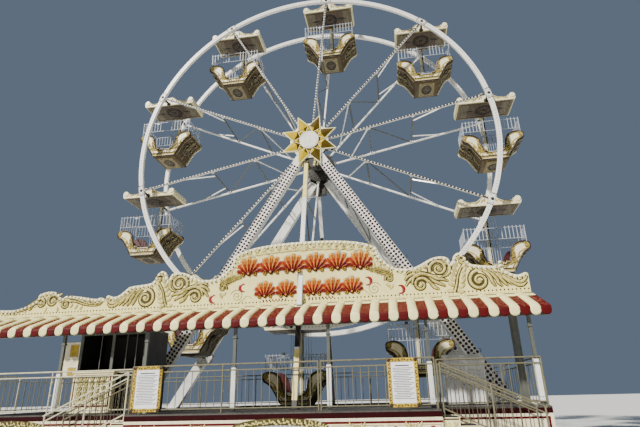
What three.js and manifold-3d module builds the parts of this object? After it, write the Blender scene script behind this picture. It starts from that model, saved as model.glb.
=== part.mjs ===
// A travelling fairground wheel. Ten gondolas hang between two rims that turn on a pair of A-frames,
// behind a carved front board, a striped awning and a railed deck with two flights of steps.
// Millimetres, +Z up, the front faces -Y, the origin is on the ground below the hub.
import * as THREE from 'three';
import { mergeVertices } from 'three/addons/utils/BufferGeometryUtils.js';
import Module from 'manifold-3d';

const wasm = await Module();
wasm.setup();

// Clearance between pieces that touch
const SEAT = 0.3;

// Wheel
const HUB_HEIGHT = 10450;
const PIVOT_RADIUS = 6800;
const RIM_PLANE = 1065;
const RIM_RADIAL = 170;
const RIM_AXIAL = 120;
const RIM_FACETS = 60;
const CABIN_COUNT = 10;
const FIRST_CABIN_ANGLE = THREE.MathUtils.degToRad(6.4);
const HUB_RADIUS = 620;
const HUB_CORE_RADIUS = 280;
const HUB_FLANGE = 130;
const HUB_HALF_LENGTH = 1125;
const HUB_FACETS = 20;
const CHORD_SIZE = 66;
const CROSS_BAR = 44;
const INNER_CROSS = PIVOT_RADIUS * 0.33;
const OUTER_CROSS = PIVOT_RADIUS * 0.58;
const STRUT_END = PIVOT_RADIUS * 0.76;
const HUB_STRUT_END = PIVOT_RADIUS * 0.19;

// Tower
const LEG_PLANE = 1300;
const LEG_WIDTH = 340;
const LEG_THICKNESS = 220;
const LEG_APEX_DROP = 170;
const LEG_FOOT_X = 5780;
const LEG_FOOT_PLATE = 400;
const LEG_TOP_START = 520;
const KNUCKLE_HEIGHT = 3000;
const BOSS_RADIUS = 300;
const PROP_SIZE = 130;
const PROP_X = -120;
const PROP_SLOT = PROP_SIZE / 2 + 20;
const PROP_FOOT_HALF = 120;
const PROP_TOP_DROP = 960;
const HEAD_DROP = 1150;
const FRONT_PROP_FOOT = -3700;
const REAR_PROP_FOOT = 4300;
const STAR_RADIUS = 1120;
const STAR_POINTS = 8;
const STAR_DISC_RADIUS = 370;
const STAR_BACK_RADIUS = 700;
const STAR_DROP = 70;

// Deck, landing and steps
const DECK_TOP = 1220;
const DECK_THICKNESS = 80;
const DECK_LEFT = -9850;
const DECK_RIGHT = 6100;
const DECK_FRONT = -4100;
const DECK_REAR = 2700;
const LANDING_LEFT = -4050;
const LANDING_RIGHT = 3500;
const LANDING_FRONT = -5100;
const WELL_HALF_LENGTH = 2900;
const WELL_HALF_WIDTH = 900;
const BEAM_BOTTOM = 500;
const LOW_BEAM_TOP = 800;
const BEAM_WIDTH = 240;
const PAD_SIZE = 460;
const PAD_THICKNESS = 60;
const JACK_SIZE = 160;
const SKIRT_THICKNESS = 30;
const SKIRT_BOTTOM = 30;
const STEP_COUNT = 6;
const STEP_GOING = 385;
const STEP_WIDTH = 840;
const STAIR_BAYS = 4;

// Railings
const RAIL_SIZE = 42;
const BALUSTER_SIZE = 22;
const BALUSTER_PITCH = 320;
const REAR_BALUSTER_PITCH = 640;
const TOP_RAIL = 1110;
const UPPER_RAIL = 970;
const LOW_RAIL = 100;

// Front board and awning
const BAY = 2550;
const FIRST_POST_X = 5950;
const POST_COUNT = 7;
const POST_SIZE = 80;
const POST_Y = -3955;
const BOARD_FRONT = -2780;
const BOARD_THICKNESS = 60;
const BOARD_BOTTOM = 4100;
const BOARD_RIGHT = 6450;
const BOARD_LEFT = -10250;
const ARCH_HALF = 2750;
const AWNING_RIGHT = 6480;
const TONGUE = 250;
const TONGUE_COUNT = 67;
const AWNING_SHEET = 26;
const AWNING_BACK_Y = -2790;
const AWNING_FRONT_Y = -4170;
const AWNING_BACK_Z = 4110;
const AWNING_FRONT_Z = 3540;
const VALANCE_BOTTOM = 3310;

// Gondola, measured from its pivot
const CANOPY_HALF = 1075;
const CANOPY_DEPTH = 1200;
const CANOPY_BOTTOM = -30;
const CANOPY_SHEET = 60;
const BOARD_SHEET = 40;
const TUB_HALF_DEPTH = 600;
const TUB_SHEET = 36;
const TUB_LOW_EDGE = -2120;
const TUB_SILL = -2450;
const TUB_SILL_HALF = 445;
const PAN_BOTTOM = -2500;
const SEAT_HEIGHT = -2000;
const CAGE_TOP = -870;
const CAGE_BOTTOM = -1270;
const CAGE_HALF = 950;
const CAGE_DEPTH_HALF = 597;
const CAGE_BAR = 30;
const HANGER_WIDTH = 110;

const paint = (color, roughness = 0.45, metalness = 0) =>
  new THREE.MeshStandardMaterial({ color, roughness, metalness, flatShading: true });

const WHITE = () => paint(0xeeeeea, 0.4);
const CREAM = () => paint(0xf0e8c4, 0.45);
const GOLD = () => paint(0xc9a227, 0.35, 0.4);
const RED = () => paint(0xa82a26, 0.5);
const DARK = () => paint(0x33312e, 0.6);
const GALVANISED = () => paint(0xb9b8ae, 0.45, 0.6);
const GREY_DECK = () => paint(0x77756f, 0.7);

const X_AXIS = new THREE.Vector3(1, 0, 0);
const Y_AXIS = new THREE.Vector3(0, 1, 0);
const Z_AXIS = new THREE.Vector3(0, 0, 1);

// Turns a closed three.js geometry into a solid that can be joined and cut
function solid(geometry) {
  const bare = geometry.clone();
  bare.deleteAttribute('normal');
  bare.deleteAttribute('uv');
  const merged = mergeVertices(bare, 1e-3);
  return new wasm.Manifold(new wasm.Mesh({
    numProp: 3,
    vertProperties: new Float32Array(merged.attributes.position.array),
    triVerts: new Uint32Array(merged.index.array),
  }));
}

function join(pieces) {
  return pieces.reduce((whole, piece) => whole.add(piece));
}

function toGeometry(body) {
  const mesh = body.asOriginal().getMesh();
  const geometry = new THREE.BufferGeometry();
  geometry.setAttribute('position', new THREE.BufferAttribute(new Float32Array(mesh.vertProperties), 3));
  geometry.setIndex(new THREE.BufferAttribute(new Uint32Array(mesh.triVerts), 1));
  geometry.computeVertexNormals();
  return geometry;
}

function box(x0, x1, y0, y1, z0, z1) {
  const geometry = new THREE.BoxGeometry(x1 - x0, y1 - y0, z1 - z0);
  return solid(geometry.translate((x0 + x1) / 2, (y0 + y1) / 2, (z0 + z1) / 2));
}

function frameAlong(from, to, side) {
  const along = to.clone().sub(from).normalize();
  const across = side.clone().addScaledVector(along, -side.dot(along)).normalize();
  const third = across.clone().cross(along);
  const middle = from.clone().add(to).multiplyScalar(0.5);
  return new THREE.Matrix4().makeBasis(third, across, along).setPosition(middle);
}

// A straight bar between two points; depth is measured along side, width across it
function bar(from, to, width, depth = width, side = Y_AXIS) {
  const start = new THREE.Vector3(...from);
  const end = new THREE.Vector3(...to);
  const geometry = new THREE.BoxGeometry(width, depth, start.distanceTo(end));
  return solid(geometry.applyMatrix4(frameAlong(start, end, side)));
}

function shapeOf(points) {
  return new THREE.Shape(points.map(([x, y]) => new THREE.Vector2(x, y)));
}

// An outline in X and Z, made thick along Y
function facePlate(points, y0, y1) {
  const geometry = new THREE.ExtrudeGeometry(shapeOf(points), { depth: y1 - y0, bevelEnabled: false });
  return solid(geometry.rotateX(Math.PI / 2).translate(0, y1, 0));
}

// An outline in Y and Z, made long along X
function sidePlate(points, x0, x1) {
  const geometry = new THREE.ExtrudeGeometry(shapeOf(points), { depth: x1 - x0, bevelEnabled: false });
  const turn = new THREE.Matrix4().makeBasis(Y_AXIS, Z_AXIS, X_AXIS);
  return solid(geometry.applyMatrix4(turn).translate(x0, 0, 0));
}

// An outline in X and Y, made tall along Z
function floorPlate(points, z0, z1) {
  const geometry = new THREE.ExtrudeGeometry(shapeOf(points), { depth: z1 - z0, bevelEnabled: false });
  return solid(geometry.translate(0, 0, z0));
}

// A profile of radius and Y, turned about the Y axis so that a facet faces straight up
function turned(profile, facets) {
  const points = profile.map(([radius, y]) => new THREE.Vector2(radius, y));
  return solid(new THREE.LatheGeometry(points, facets, Math.PI / facets));
}

const mirrored = (points) => [...points, ...points.map(([x, z]) => [-x, z]).reverse()];

const assembly = new THREE.Group();

function place(name, body, material, parent = assembly) {
  const mesh = new THREE.Mesh(toGeometry(body), material);
  mesh.name = name;
  parent.add(mesh);
  return mesh;
}

// Chassis: long beams under the legs, low cross beams, and jacks on packing pads
function baseFrame() {
  const top = DECK_TOP - DECK_THICKNESS - SEAT;
  const half = BEAM_WIDTH / 2;
  const pieces = [];
  for (const side of [-1, 1]) {
    const y = side * LEG_PLANE;
    pieces.push(box(DECK_LEFT + 250, DECK_RIGHT - 60, y - half, y + half, BEAM_BOTTOM, top));
  }
  const underLegs = LEG_FOOT_X;
  const crossings = [DECK_LEFT + 370, -underLegs, -3100, 0, 3100, underLegs];
  for (const x of crossings) {
    const front = Math.abs(x) < 3500 ? LANDING_FRONT + 60 : DECK_FRONT + 60;
    const rear = x === 0 ? REAR_PROP_FOOT + 200 : DECK_REAR - 60;
    pieces.push(box(x - half, x + half, front, rear, BEAM_BOTTOM, LOW_BEAM_TOP));
    const jacks = [[front + 300, top], [DECK_REAR - 320, top]];
    if (x === 0) {
      jacks.push([0, LOW_BEAM_TOP - 20], [REAR_PROP_FOOT, LOW_BEAM_TOP - 20]);
    }
    if (Math.abs(x) === underLegs) {
      jacks.push([-LEG_PLANE, BEAM_BOTTOM + 20], [LEG_PLANE, BEAM_BOTTOM + 20]);
    }
    for (const [y, height] of jacks) {
      const reach = JACK_SIZE / 2;
      pieces.push(box(x - reach, x + reach, y - reach, y + reach, PAD_THICKNESS - 5, height));
      pieces.push(box(x - PAD_SIZE / 2, x + PAD_SIZE / 2, y - PAD_SIZE / 2, y + PAD_SIZE / 2,
        0, PAD_THICKNESS));
    }
  }
  return join(pieces);
}

function deck() {
  const outline = [
    [DECK_LEFT, DECK_FRONT], [LANDING_LEFT, DECK_FRONT], [LANDING_LEFT, LANDING_FRONT],
    [LANDING_RIGHT, LANDING_FRONT], [LANDING_RIGHT, DECK_FRONT], [DECK_RIGHT, DECK_FRONT],
    [DECK_RIGHT, DECK_REAR], [DECK_LEFT, DECK_REAR],
  ];
  const well = box(-WELL_HALF_LENGTH, WELL_HALF_LENGTH, -WELL_HALF_WIDTH, WELL_HALF_WIDTH, 0, DECK_TOP + 10);
  return floorPlate(outline, DECK_TOP - DECK_THICKNESS, DECK_TOP).subtract(well);
}

// Painted panels that close the deck's front below the floor, with the landing's returns
function frontSkirt() {
  const t = SKIRT_THICKNESS;
  const outside = [
    [DECK_LEFT, DECK_FRONT], [LANDING_LEFT, DECK_FRONT], [LANDING_LEFT, LANDING_FRONT],
    [LANDING_RIGHT, LANDING_FRONT], [LANDING_RIGHT, DECK_FRONT], [DECK_RIGHT, DECK_FRONT],
  ];
  const inside = [
    [DECK_RIGHT, DECK_FRONT + t], [LANDING_RIGHT - t, DECK_FRONT + t], [LANDING_RIGHT - t, LANDING_FRONT + t],
    [LANDING_LEFT + t, LANDING_FRONT + t], [LANDING_LEFT + t, DECK_FRONT + t], [DECK_LEFT, DECK_FRONT + t],
  ];
  return floorPlate([...outside, ...inside], SKIRT_BOTTOM, DECK_TOP - DECK_THICKNESS - SEAT);
}

function backSkirt() {
  const t = SKIRT_THICKNESS;
  const start = DECK_FRONT + t + SEAT;
  const outline = [
    [DECK_RIGHT, start], [DECK_RIGHT, DECK_REAR], [DECK_LEFT, DECK_REAR], [DECK_LEFT, start],
    [DECK_LEFT + t, start], [DECK_LEFT + t, DECK_REAR - t], [DECK_RIGHT - t, DECK_REAR - t],
    [DECK_RIGHT - t, start],
  ];
  const skirt = floorPlate(outline, SKIRT_BOTTOM, DECK_TOP - DECK_THICKNESS - SEAT);
  const half = BEAM_WIDTH / 2 + 10;
  const notch = box(-half, half, DECK_REAR - t - 20, DECK_REAR + 20, BEAM_BOTTOM - 10, LOW_BEAM_TOP + 10);
  return skirt.subtract(notch);
}

// A straight run of railing: two top rails, a low rail, end posts and balusters
function railing(from, to, pitch = BALUSTER_PITCH) {
  const [x0, y0] = from;
  const [x1, y1] = to;
  const length = Math.hypot(x1 - x0, y1 - y0);
  const along = [(x1 - x0) / length, (y1 - y0) / length];
  const at = (distance, height) => [x0 + along[0] * distance, y0 + along[1] * distance, DECK_TOP + height];
  const side = new THREE.Vector3(-along[1], along[0], 0);
  const reach = RAIL_SIZE / 2;
  const pieces = [];
  for (const height of [TOP_RAIL, UPPER_RAIL, LOW_RAIL]) {
    pieces.push(bar(at(-reach, height), at(length + reach, height), RAIL_SIZE, RAIL_SIZE, side));
  }
  const count = Math.round(length / pitch);
  for (let i = 1; i < count; i += 1) {
    const distance = (length * i) / count;
    const isPost = i % 6 === 0;
    const size = isPost ? RAIL_SIZE - 4 : BALUSTER_SIZE;
    const foot = isPost ? SEAT : LOW_RAIL;
    pieces.push(bar(at(distance, foot), at(distance, UPPER_RAIL + 5), size, size, side));
  }
  for (const distance of [0, length]) {
    pieces.push(bar(at(distance, SEAT), at(distance, TOP_RAIL), RAIL_SIZE + 4, RAIL_SIZE + 4, side));
  }
  return join(pieces);
}

// Flights run down along the deck's front; direction is -1 to the left, 1 to the right
const STEP_RISE = DECK_TOP / (STEP_COUNT + 1);
const STEP_FRONT = LANDING_FRONT + 60;
const stairStart = (direction) => (direction < 0 ? LANDING_LEFT - SEAT : LANDING_RIGHT + SEAT);

function steps(direction) {
  const startX = stairStart(direction);
  const outline = [[startX, 0], [startX, DECK_TOP - STEP_RISE]];
  for (let i = 1; i <= STEP_COUNT; i += 1) {
    const edge = startX + direction * STEP_GOING * i;
    outline.push([edge, DECK_TOP - STEP_RISE * i]);
    outline.push([edge, i < STEP_COUNT ? DECK_TOP - STEP_RISE * (i + 1) : 0]);
  }
  if (direction > 0) {
    outline.reverse();
  }
  return facePlate(outline, STEP_FRONT, STEP_FRONT + STEP_WIDTH);
}

// Hand rail of one side of a flight, with posts that stand on the treads
function stairRail(direction, y) {
  const run = STEP_GOING * STEP_COUNT;
  const slope = (DECK_TOP - STEP_RISE) / run;
  const at = (distance, height) => [
    stairStart(direction) + direction * distance, y, DECK_TOP + height - slope * distance,
  ];
  const pieces = [TOP_RAIL - 90, UPPER_RAIL - 90, 40].map(
    (height) => bar(at(50, height), at(run - 60, height), RAIL_SIZE));
  for (let i = 0; i <= STAIR_BAYS; i += 1) {
    const distance = 60 + ((run - 160) * i) / STAIR_BAYS;
    const isPost = i % (STAIR_BAYS / 2) === 0;
    const size = isPost ? RAIL_SIZE : BALUSTER_SIZE;
    const top = at(distance, isPost ? TOP_RAIL - 90 : UPPER_RAIL - 85);
    const tread = DECK_TOP - STEP_RISE * (Math.floor(distance / STEP_GOING) + 1) + SEAT;
    const foot = isPost ? tread : at(distance, 40)[2];
    pieces.push(bar([top[0], y, foot], top, size, size));
  }
  return join(pieces);
}

// Leg frame: the axis runs from below the hub's middle out to a foot on the deck
const legTop = [0, HUB_HEIGHT - LEG_APEX_DROP];
const legDrop = legTop[1] - DECK_TOP;
const legLength = Math.hypot(LEG_FOOT_X, legDrop);
const legDirection = [LEG_FOOT_X / legLength, -legDrop / legLength];

function legPoint(distance, offset, side) {
  const x = legTop[0] + legDirection[0] * distance - legDirection[1] * offset;
  const z = legTop[1] + legDirection[1] * distance + legDirection[0] * offset;
  return [side * x, z];
}

function leg(side, plane, hasKnuckle) {
  const half = LEG_WIDTH / 2;
  const footCut = (offset) => {
    const [, z] = legPoint(0, offset, 1);
    return (z - DECK_TOP - 40) / -legDirection[1];
  };
  const outline = [
    legPoint(LEG_TOP_START, -half, side), legPoint(footCut(-half), -half, side),
    legPoint(footCut(half), half, side), legPoint(LEG_TOP_START, half, side),
  ];
  const y0 = plane - LEG_THICKNESS / 2;
  const y1 = plane + LEG_THICKNESS / 2;
  const knuckleAt = (legTop[1] - KNUCKLE_HEIGHT) / -legDirection[1];
  const knuckle = [
    [-330, 0], [-170, -290], [170, -290], [330, 0], [170, 290], [-170, 290],
  ].map(([along, across]) => legPoint(knuckleAt + along, across, side));
  const ordered = (points) => (THREE.ShapeUtils.area(points.map(([x, y]) => new THREE.Vector2(x, y))) > 0
    ? points : [...points].reverse());
  const footX = side * LEG_FOOT_X;
  const pieces = [
    facePlate(ordered(outline), y0, y1),
    box(footX - LEG_FOOT_PLATE / 2, footX + LEG_FOOT_PLATE / 2, y0 - 60, y1 + 60,
      DECK_TOP + SEAT, DECK_TOP + 45),
  ];
  if (hasKnuckle) {
    const sheet = 20;
    pieces.push(facePlate(ordered(knuckle), y0 - sheet, y0 + 5));
    pieces.push(facePlate(ordered(knuckle), y1 - 5, y1 + sheet));
  }
  return join(pieces);
}

// Head that closes the A-frame: legs butt on its lower facets and the wheel runs on its boss
function towerHead(facing) {
  const half = LEG_WIDTH / 2;
  const outer = legPoint(LEG_TOP_START - SEAT, half, 1);
  const inner = legPoint(LEG_TOP_START - SEAT, -half, 1);
  const besideLeg = legPoint(LEG_TOP_START + 120, -half - SEAT, 1);
  const rightSide = [
    [besideLeg[0], HUB_HEIGHT - HEAD_DROP], besideLeg, inner, outer,
    [430, HUB_HEIGHT + 100], [300, HUB_HEIGHT + 380],
  ];
  const plane = facing * LEG_PLANE;
  const plate = facePlate(mirrored(rightSide), plane - LEG_THICKNESS / 2, plane + LEG_THICKNESS / 2);
  const inside = LEG_PLANE - LEG_THICKNESS / 2 + 5;
  const bossFace = HUB_HALF_LENGTH + SEAT;
  const boss = turned([[0, bossFace], [BOSS_RADIUS, bossFace], [BOSS_RADIUS, inside], [0, inside]], 24);
  const turnedBoss = facing > 0 ? boss : boss.rotate([0, 0, 180]);
  return plate.add(turnedBoss.translate([0, 0, HUB_HEIGHT]));
}

function prop(footY) {
  const facing = Math.sign(footY);
  const topY = facing * (LEG_PLANE + LEG_THICKNESS / 2 + SEAT);
  const topZ = HUB_HEIGHT - PROP_TOP_DROP;
  const rest = footY > DECK_REAR ? LOW_BEAM_TOP : DECK_TOP;
  const half = PROP_SIZE / 2;
  const shaft = sidePlate(facing < 0
    ? [[footY - half, rest + 40], [footY + half, rest + 40], [topY, topZ - 110], [topY, topZ + 110]]
    : [[topY, topZ + 110], [topY, topZ - 110], [footY - half, rest + 40], [footY + half, rest + 40]],
  PROP_X - half, PROP_X + half);
  const foot = box(PROP_X - PROP_FOOT_HALF, PROP_X + PROP_FOOT_HALF, footY - 95, footY + 120,
    rest + SEAT, rest + 45);
  return shaft.add(foot);
}

// Eight-pointed star with a round centre, on a backing plate in front of the head
function hubStar() {
  const back = LEG_PLANE + LEG_THICKNESS / 2 + SEAT;
  const disc = (radius, near, far) => turned([[0, near], [radius, near], [radius, far], [0, far]], 24);
  const pieces = [disc(STAR_BACK_RADIUS, back, back + 40), disc(STAR_DISC_RADIUS, back + 20, back + 130)];
  for (let i = 0; i < STAR_POINTS; i += 1) {
    const inner = 220;
    const point = new THREE.ConeGeometry(290, STAR_RADIUS - inner, 4);
    point.translate(0, (STAR_RADIUS - inner) / 2 + inner, 0);
    point.rotateX(Math.PI / 2);
    point.scale(1, 0.4, 1);
    point.translate(0, back + 20, 0);
    point.rotateY((2 * Math.PI * (i + 0.5)) / STAR_POINTS);
    pieces.push(solid(point));
  }
  const front = box(-2 * STAR_RADIUS, 2 * STAR_RADIUS, back, back + 400, -2 * STAR_RADIUS, 2 * STAR_RADIUS);
  const star = join(pieces).intersect(front);
  return star.rotate([0, 0, 180]).translate([0, 0, HUB_HEIGHT - STAR_DROP]);
}

// Right half of the front board's crest line, from the arch outwards
const RIGHT_CREST = [
  [ARCH_HALF, 5040], [3180, 5000], [3480, 5100], [3800, 5260], [4080, 5310], [4290, 5250], [4380, 5060],
  [4460, 5290], [4610, 5390], [4760, 5290], [4890, 5060], [5100, 4990], [5640, 4940], [5700, 5070],
  [5770, 5050], [5810, 4830], [6000, 4690], [6180, 4640], [6380, 4700], [BOARD_RIGHT, 4660],
];
const ARCH_CREST = [
  [ARCH_HALF, 5040], [2560, 5170], [2400, 5330], [2280, 5500], [2230, 5700], [1980, 5840], [1500, 5960],
  [800, 6030], [0, 6050],
];
const FAR_CREST = [
  [-6450, 4560], [-6620, 4640], [-6840, 4610], [-7450, 4720], [-7860, 4760], [-8000, 4680], [-8180, 4870],
  [-8540, 4930], [-8860, 4830], [-8920, 4640], [-9540, 4400], [BOARD_LEFT, 4400],
];

function boardPanel(crest) {
  const first = crest[0][0];
  const last = crest[crest.length - 1][0];
  const points = [[first, BOARD_BOTTOM], ...crest, [last, BOARD_BOTTOM]];
  const ordered = last > first ? points.reverse() : points;
  return facePlate(ordered, BOARD_FRONT, BOARD_FRONT + BOARD_THICKNESS);
}

const shiftIn = (crest, amount) => crest.map(([x, z], i) => (i === 0 ? [x + amount, z] : [x, z]));

// The front prop runs down through the board and the back edge of the awning
const propSlot = (y0, y1, top) =>
  box(PROP_X - PROP_SLOT, PROP_X + PROP_SLOT, y0, y1, BOARD_BOTTOM - 300, top);

// Moulded awning: a sloping sheet and a valance cut into round-ended tongues
function awning() {
  const left = AWNING_RIGHT - TONGUE * TONGUE_COUNT;
  const slope = sidePlate([
    [AWNING_FRONT_Y, AWNING_FRONT_Z], [AWNING_FRONT_Y + AWNING_SHEET, AWNING_FRONT_Z - AWNING_SHEET],
    [AWNING_BACK_Y, AWNING_BACK_Z - AWNING_SHEET], [AWNING_BACK_Y, AWNING_BACK_Z],
  ], left, AWNING_RIGHT);
  const edge = [[left, AWNING_FRONT_Z - 2], [left, VALANCE_BOTTOM + TONGUE / 3]];
  for (let i = 0; i < TONGUE_COUNT; i += 1) {
    const start = left + i * TONGUE;
    edge.push([start + TONGUE * 0.2, VALANCE_BOTTOM]);
    edge.push([start + TONGUE * 0.8, VALANCE_BOTTOM]);
    edge.push([start + TONGUE, VALANCE_BOTTOM + TONGUE / 3]);
  }
  edge.push([AWNING_RIGHT, AWNING_FRONT_Z - 2]);
  const valance = facePlate(edge, AWNING_FRONT_Y, AWNING_FRONT_Y + AWNING_SHEET);
  const drop = AWNING_FRONT_Z - VALANCE_BOTTOM - TONGUE / 3;
  const cheek = (x0, x1) => sidePlate([
    [AWNING_FRONT_Y + 5, AWNING_FRONT_Z - drop], [AWNING_BACK_Y, AWNING_BACK_Z - drop],
    [AWNING_BACK_Y, AWNING_BACK_Z - 5], [AWNING_FRONT_Y + 5, AWNING_FRONT_Z - 5],
  ], x0, x1);
  const cheeks = [cheek(left, left + AWNING_SHEET), cheek(AWNING_RIGHT - AWNING_SHEET, AWNING_RIGHT)];
  const slot = propSlot(AWNING_BACK_Y - 280, AWNING_BACK_Y + 10, AWNING_BACK_Z + 10);
  return join([slope, valance, ...cheeks]).subtract(slot);
}

// Posts, header, rafters and the beam behind the board, with two brackets back to the front legs
function awningFrame() {
  const left = AWNING_RIGHT - TONGUE * TONGUE_COUNT + AWNING_SHEET + SEAT;
  const right = AWNING_RIGHT - AWNING_SHEET - SEAT;
  const underFront = AWNING_FRONT_Y + AWNING_SHEET;
  const rise = (AWNING_BACK_Z - AWNING_FRONT_Z) / (AWNING_BACK_Y - underFront);
  const under = (y) => AWNING_FRONT_Z - AWNING_SHEET - SEAT * 1.2 + rise * (y - underFront);
  const half = POST_SIZE / 2;
  const beamFront = BOARD_FRONT + BOARD_THICKNESS + SEAT;
  const beamZ = BOARD_BOTTOM + 120;
  const pieces = [
    box(left, right, POST_Y - half, POST_Y + half, 3330, 3330 + POST_SIZE),
    box(BOARD_LEFT + 40, BOARD_RIGHT - 40, beamFront, beamFront + 100, beamZ - 60, beamZ + 60),
  ];
  const rearOfRafter = beamFront + 20;
  const railY = AWNING_BACK_Y - 40;
  for (let i = 0; i < POST_COUNT; i += 1) {
    const x = FIRST_POST_X - BAY * i;
    pieces.push(box(x - half, x + half, POST_Y - half, POST_Y + half, DECK_TOP + SEAT, under(POST_Y) - 40));
    const top = under(railY);
    pieces.push(sidePlate([
      [POST_Y - half, under(POST_Y - half) - 60], [railY, top - 60], [rearOfRafter, top - 60],
      [rearOfRafter, top], [railY, top], [POST_Y - half, under(POST_Y - half)],
    ], x - 30, x + 30));
    pieces.push(box(x - 30, x + 30, beamFront, beamFront + 60, top - 60, beamZ));
  }
  for (const x of [-6750, 5875]) {
    const y = beamFront + 20;
    pieces.push(box(x - 95, x + 95, y, y + 160, DECK_TOP + SEAT, beamZ + 40));
  }
  for (const side of [-1, 1]) {
    const z = 4700;
    const [x] = legPoint((legTop[1] - z) / -legDirection[1], 0, side);
    const legFront = -LEG_PLANE - LEG_THICKNESS / 2 - SEAT;
    pieces.push(box(x - 40, x + 40, beamFront + 10, legFront, z - 40, z + 40));
    pieces.push(box(x - 40, x + 40, beamFront, beamFront + 80, beamZ, z + 40));
  }
  return join(pieces);
}

// Ticket booth: a hollow cabin with two window openings over a counter
function payBox() {
  const x0 = -6550;
  const x1 = -4450;
  const y0 = -3560;
  const y1 = -2320;
  const z0 = DECK_TOP + SEAT;
  const z1 = 3460;
  const wall = 45;
  const shell = box(x0, x1, y0, y1, z0, z1);
  const room = box(x0 + wall, x1 - wall, y0 + wall, y1 - wall, z0 + wall, z1 - wall);
  const middle = (x0 + x1) / 2;
  const sill = z0 + 1080;
  const head = z1 - 90;
  const leftWindow = box(x0 + 90, middle - 40, y0 - 10, y0 + wall + 10, sill, head);
  const rightWindow = box(middle + 40, x1 - 90, y0 - 10, y0 + wall + 10, sill, head);
  const sign = box(-7040, x0 + 5, y0 + 20, y0 + 45, 2200, 3180);
  const shelf = box(x0 + 60, x1 - 60, y0 - 120, y0 + 5, sill - 60, sill - 20);
  return join([shell.subtract(room).subtract(leftWindow).subtract(rightWindow), sign, shelf]);
}

function payDesk() {
  const z0 = DECK_TOP + SEAT;
  return join([
    box(-6400, -5200, -3900, -3700, z0, 2290),
    box(-6440, -5160, -3930, -3690, 2280, 2330),
    box(-6430, -5170, -3920, -3690, z0, z0 + 120),
  ]);
}

// Bare notice board in an ornate frame, hung on the landing's railing
function noticeBoard(x0, x1) {
  const front = LANDING_FRONT + 95 - RAIL_SIZE / 2 - SEAT - 40;
  const z0 = DECK_TOP + 50;
  const z1 = DECK_TOP + 1120;
  const face = box(x0, x1, front, front + 40, z0, z1);
  const recess = box(x0 + 70, x1 - 70, front - 5, front + 15, z0 + 70, z1 - 70);
  return face.subtract(recess);
}

// Cover over the drive, with louvred upper part
function driveHousing() {
  const z0 = DECK_TOP + SEAT;
  const body = box(3900, 4950, -2500, -1560, z0, 2300);
  const hood = sidePlate([[-2540, 2290], [-1520, 2290], [-1640, 2560], [-2300, 2560]], 3880, 4970);
  return body.add(hood);
}

function hub() {
  const flangeStart = HUB_HALF_LENGTH - HUB_FLANGE;
  const profile = [
    [0, -HUB_HALF_LENGTH], [HUB_RADIUS, -HUB_HALF_LENGTH], [HUB_RADIUS, -flangeStart],
    [HUB_CORE_RADIUS, -flangeStart + 60], [HUB_CORE_RADIUS, flangeStart - 60],
    [HUB_RADIUS, flangeStart], [HUB_RADIUS, HUB_HALF_LENGTH], [0, HUB_HALF_LENGTH],
  ];
  return turned(profile, HUB_FACETS);
}

function rim(plane) {
  const inner = PIVOT_RADIUS - RIM_RADIAL / 2;
  const outer = PIVOT_RADIUS + RIM_RADIAL / 2;
  const y0 = plane - RIM_AXIAL / 2;
  const y1 = plane + RIM_AXIAL / 2;
  return turned([[inner, y0], [outer, y0], [outer, y1], [inner, y1], [inner, y0]], RIM_FACETS);
}

// Braced pair of chords in one radial plane, drawn pointing straight up from the hub
function spoke() {
  const start = HUB_RADIUS * Math.cos(Math.PI / HUB_FACETS) + SEAT;
  const end = (PIVOT_RADIUS - RIM_RADIAL / 2) * Math.cos(Math.PI / RIM_FACETS) - SEAT;
  const pieces = [];
  for (const plane of [-RIM_PLANE, RIM_PLANE]) {
    pieces.push(bar([0, plane, start], [0, plane, end], CHORD_SIZE));
  }
  for (const radius of [INNER_CROSS, OUTER_CROSS]) {
    pieces.push(bar([0, -RIM_PLANE, radius], [0, RIM_PLANE, radius], CROSS_BAR, CROSS_BAR, X_AXIS));
  }
  const brace = CROSS_BAR * 0.8;
  const frontJoin = -RIM_PLANE * 0.6;
  const rearJoin = RIM_PLANE * 0.5;
  pieces.push(bar([0, -RIM_PLANE, INNER_CROSS], [0, RIM_PLANE, OUTER_CROSS], brace, brace, X_AXIS));
  pieces.push(bar([0, frontJoin, OUTER_CROSS], [0, -RIM_PLANE, STRUT_END], brace, brace, X_AXIS));
  pieces.push(bar([0, rearJoin, OUTER_CROSS], [0, RIM_PLANE, STRUT_END], brace, brace, X_AXIS));
  pieces.push(bar([0, -RIM_PLANE, INNER_CROSS], [0, RIM_PLANE, HUB_STRUT_END], brace, brace, X_AXIS));
  return join(pieces);
}

// Roof of a gondola with curled ends, profile boards front and rear, and the pivot pins
function canopyPieces() {
  const half = CANOPY_DEPTH / 2;
  const roof = [
    [CANOPY_HALF - 50, CANOPY_BOTTOM], [CANOPY_HALF, CANOPY_BOTTOM + 60], [CANOPY_HALF, 210],
    [CANOPY_HALF - 100, 240], [CANOPY_HALF - 100, CANOPY_BOTTOM + 120],
    [CANOPY_HALF - 180, CANOPY_BOTTOM + CANOPY_SHEET],
  ];
  const crest = [
    [CANOPY_HALF - 20, CANOPY_BOTTOM], [CANOPY_HALF - 20, 210], [CANOPY_HALF - 80, 265],
    [CANOPY_HALF - 200, 170], [340, 160], [240, 300], [90, 360],
  ];
  const pieces = [facePlate(mirrored(roof), -half, half)];
  for (const side of [-1, 1]) {
    const outer = side * half;
    const inner = side * (half - BOARD_SHEET);
    pieces.push(facePlate(mirrored(crest), Math.min(outer, inner), Math.max(outer, inner)));
    const pinEnd = side * (RIM_PLANE - RIM_AXIAL / 2 - SEAT);
    pieces.push(bar([0, inner, 20], [0, pinEnd, 20], 90, 90, X_AXIS));
    pieces.push(bar([0, pinEnd - side * 40, 0], [0, pinEnd, 0], 150, 150, X_AXIS));
  }
  return pieces;
}

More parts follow.
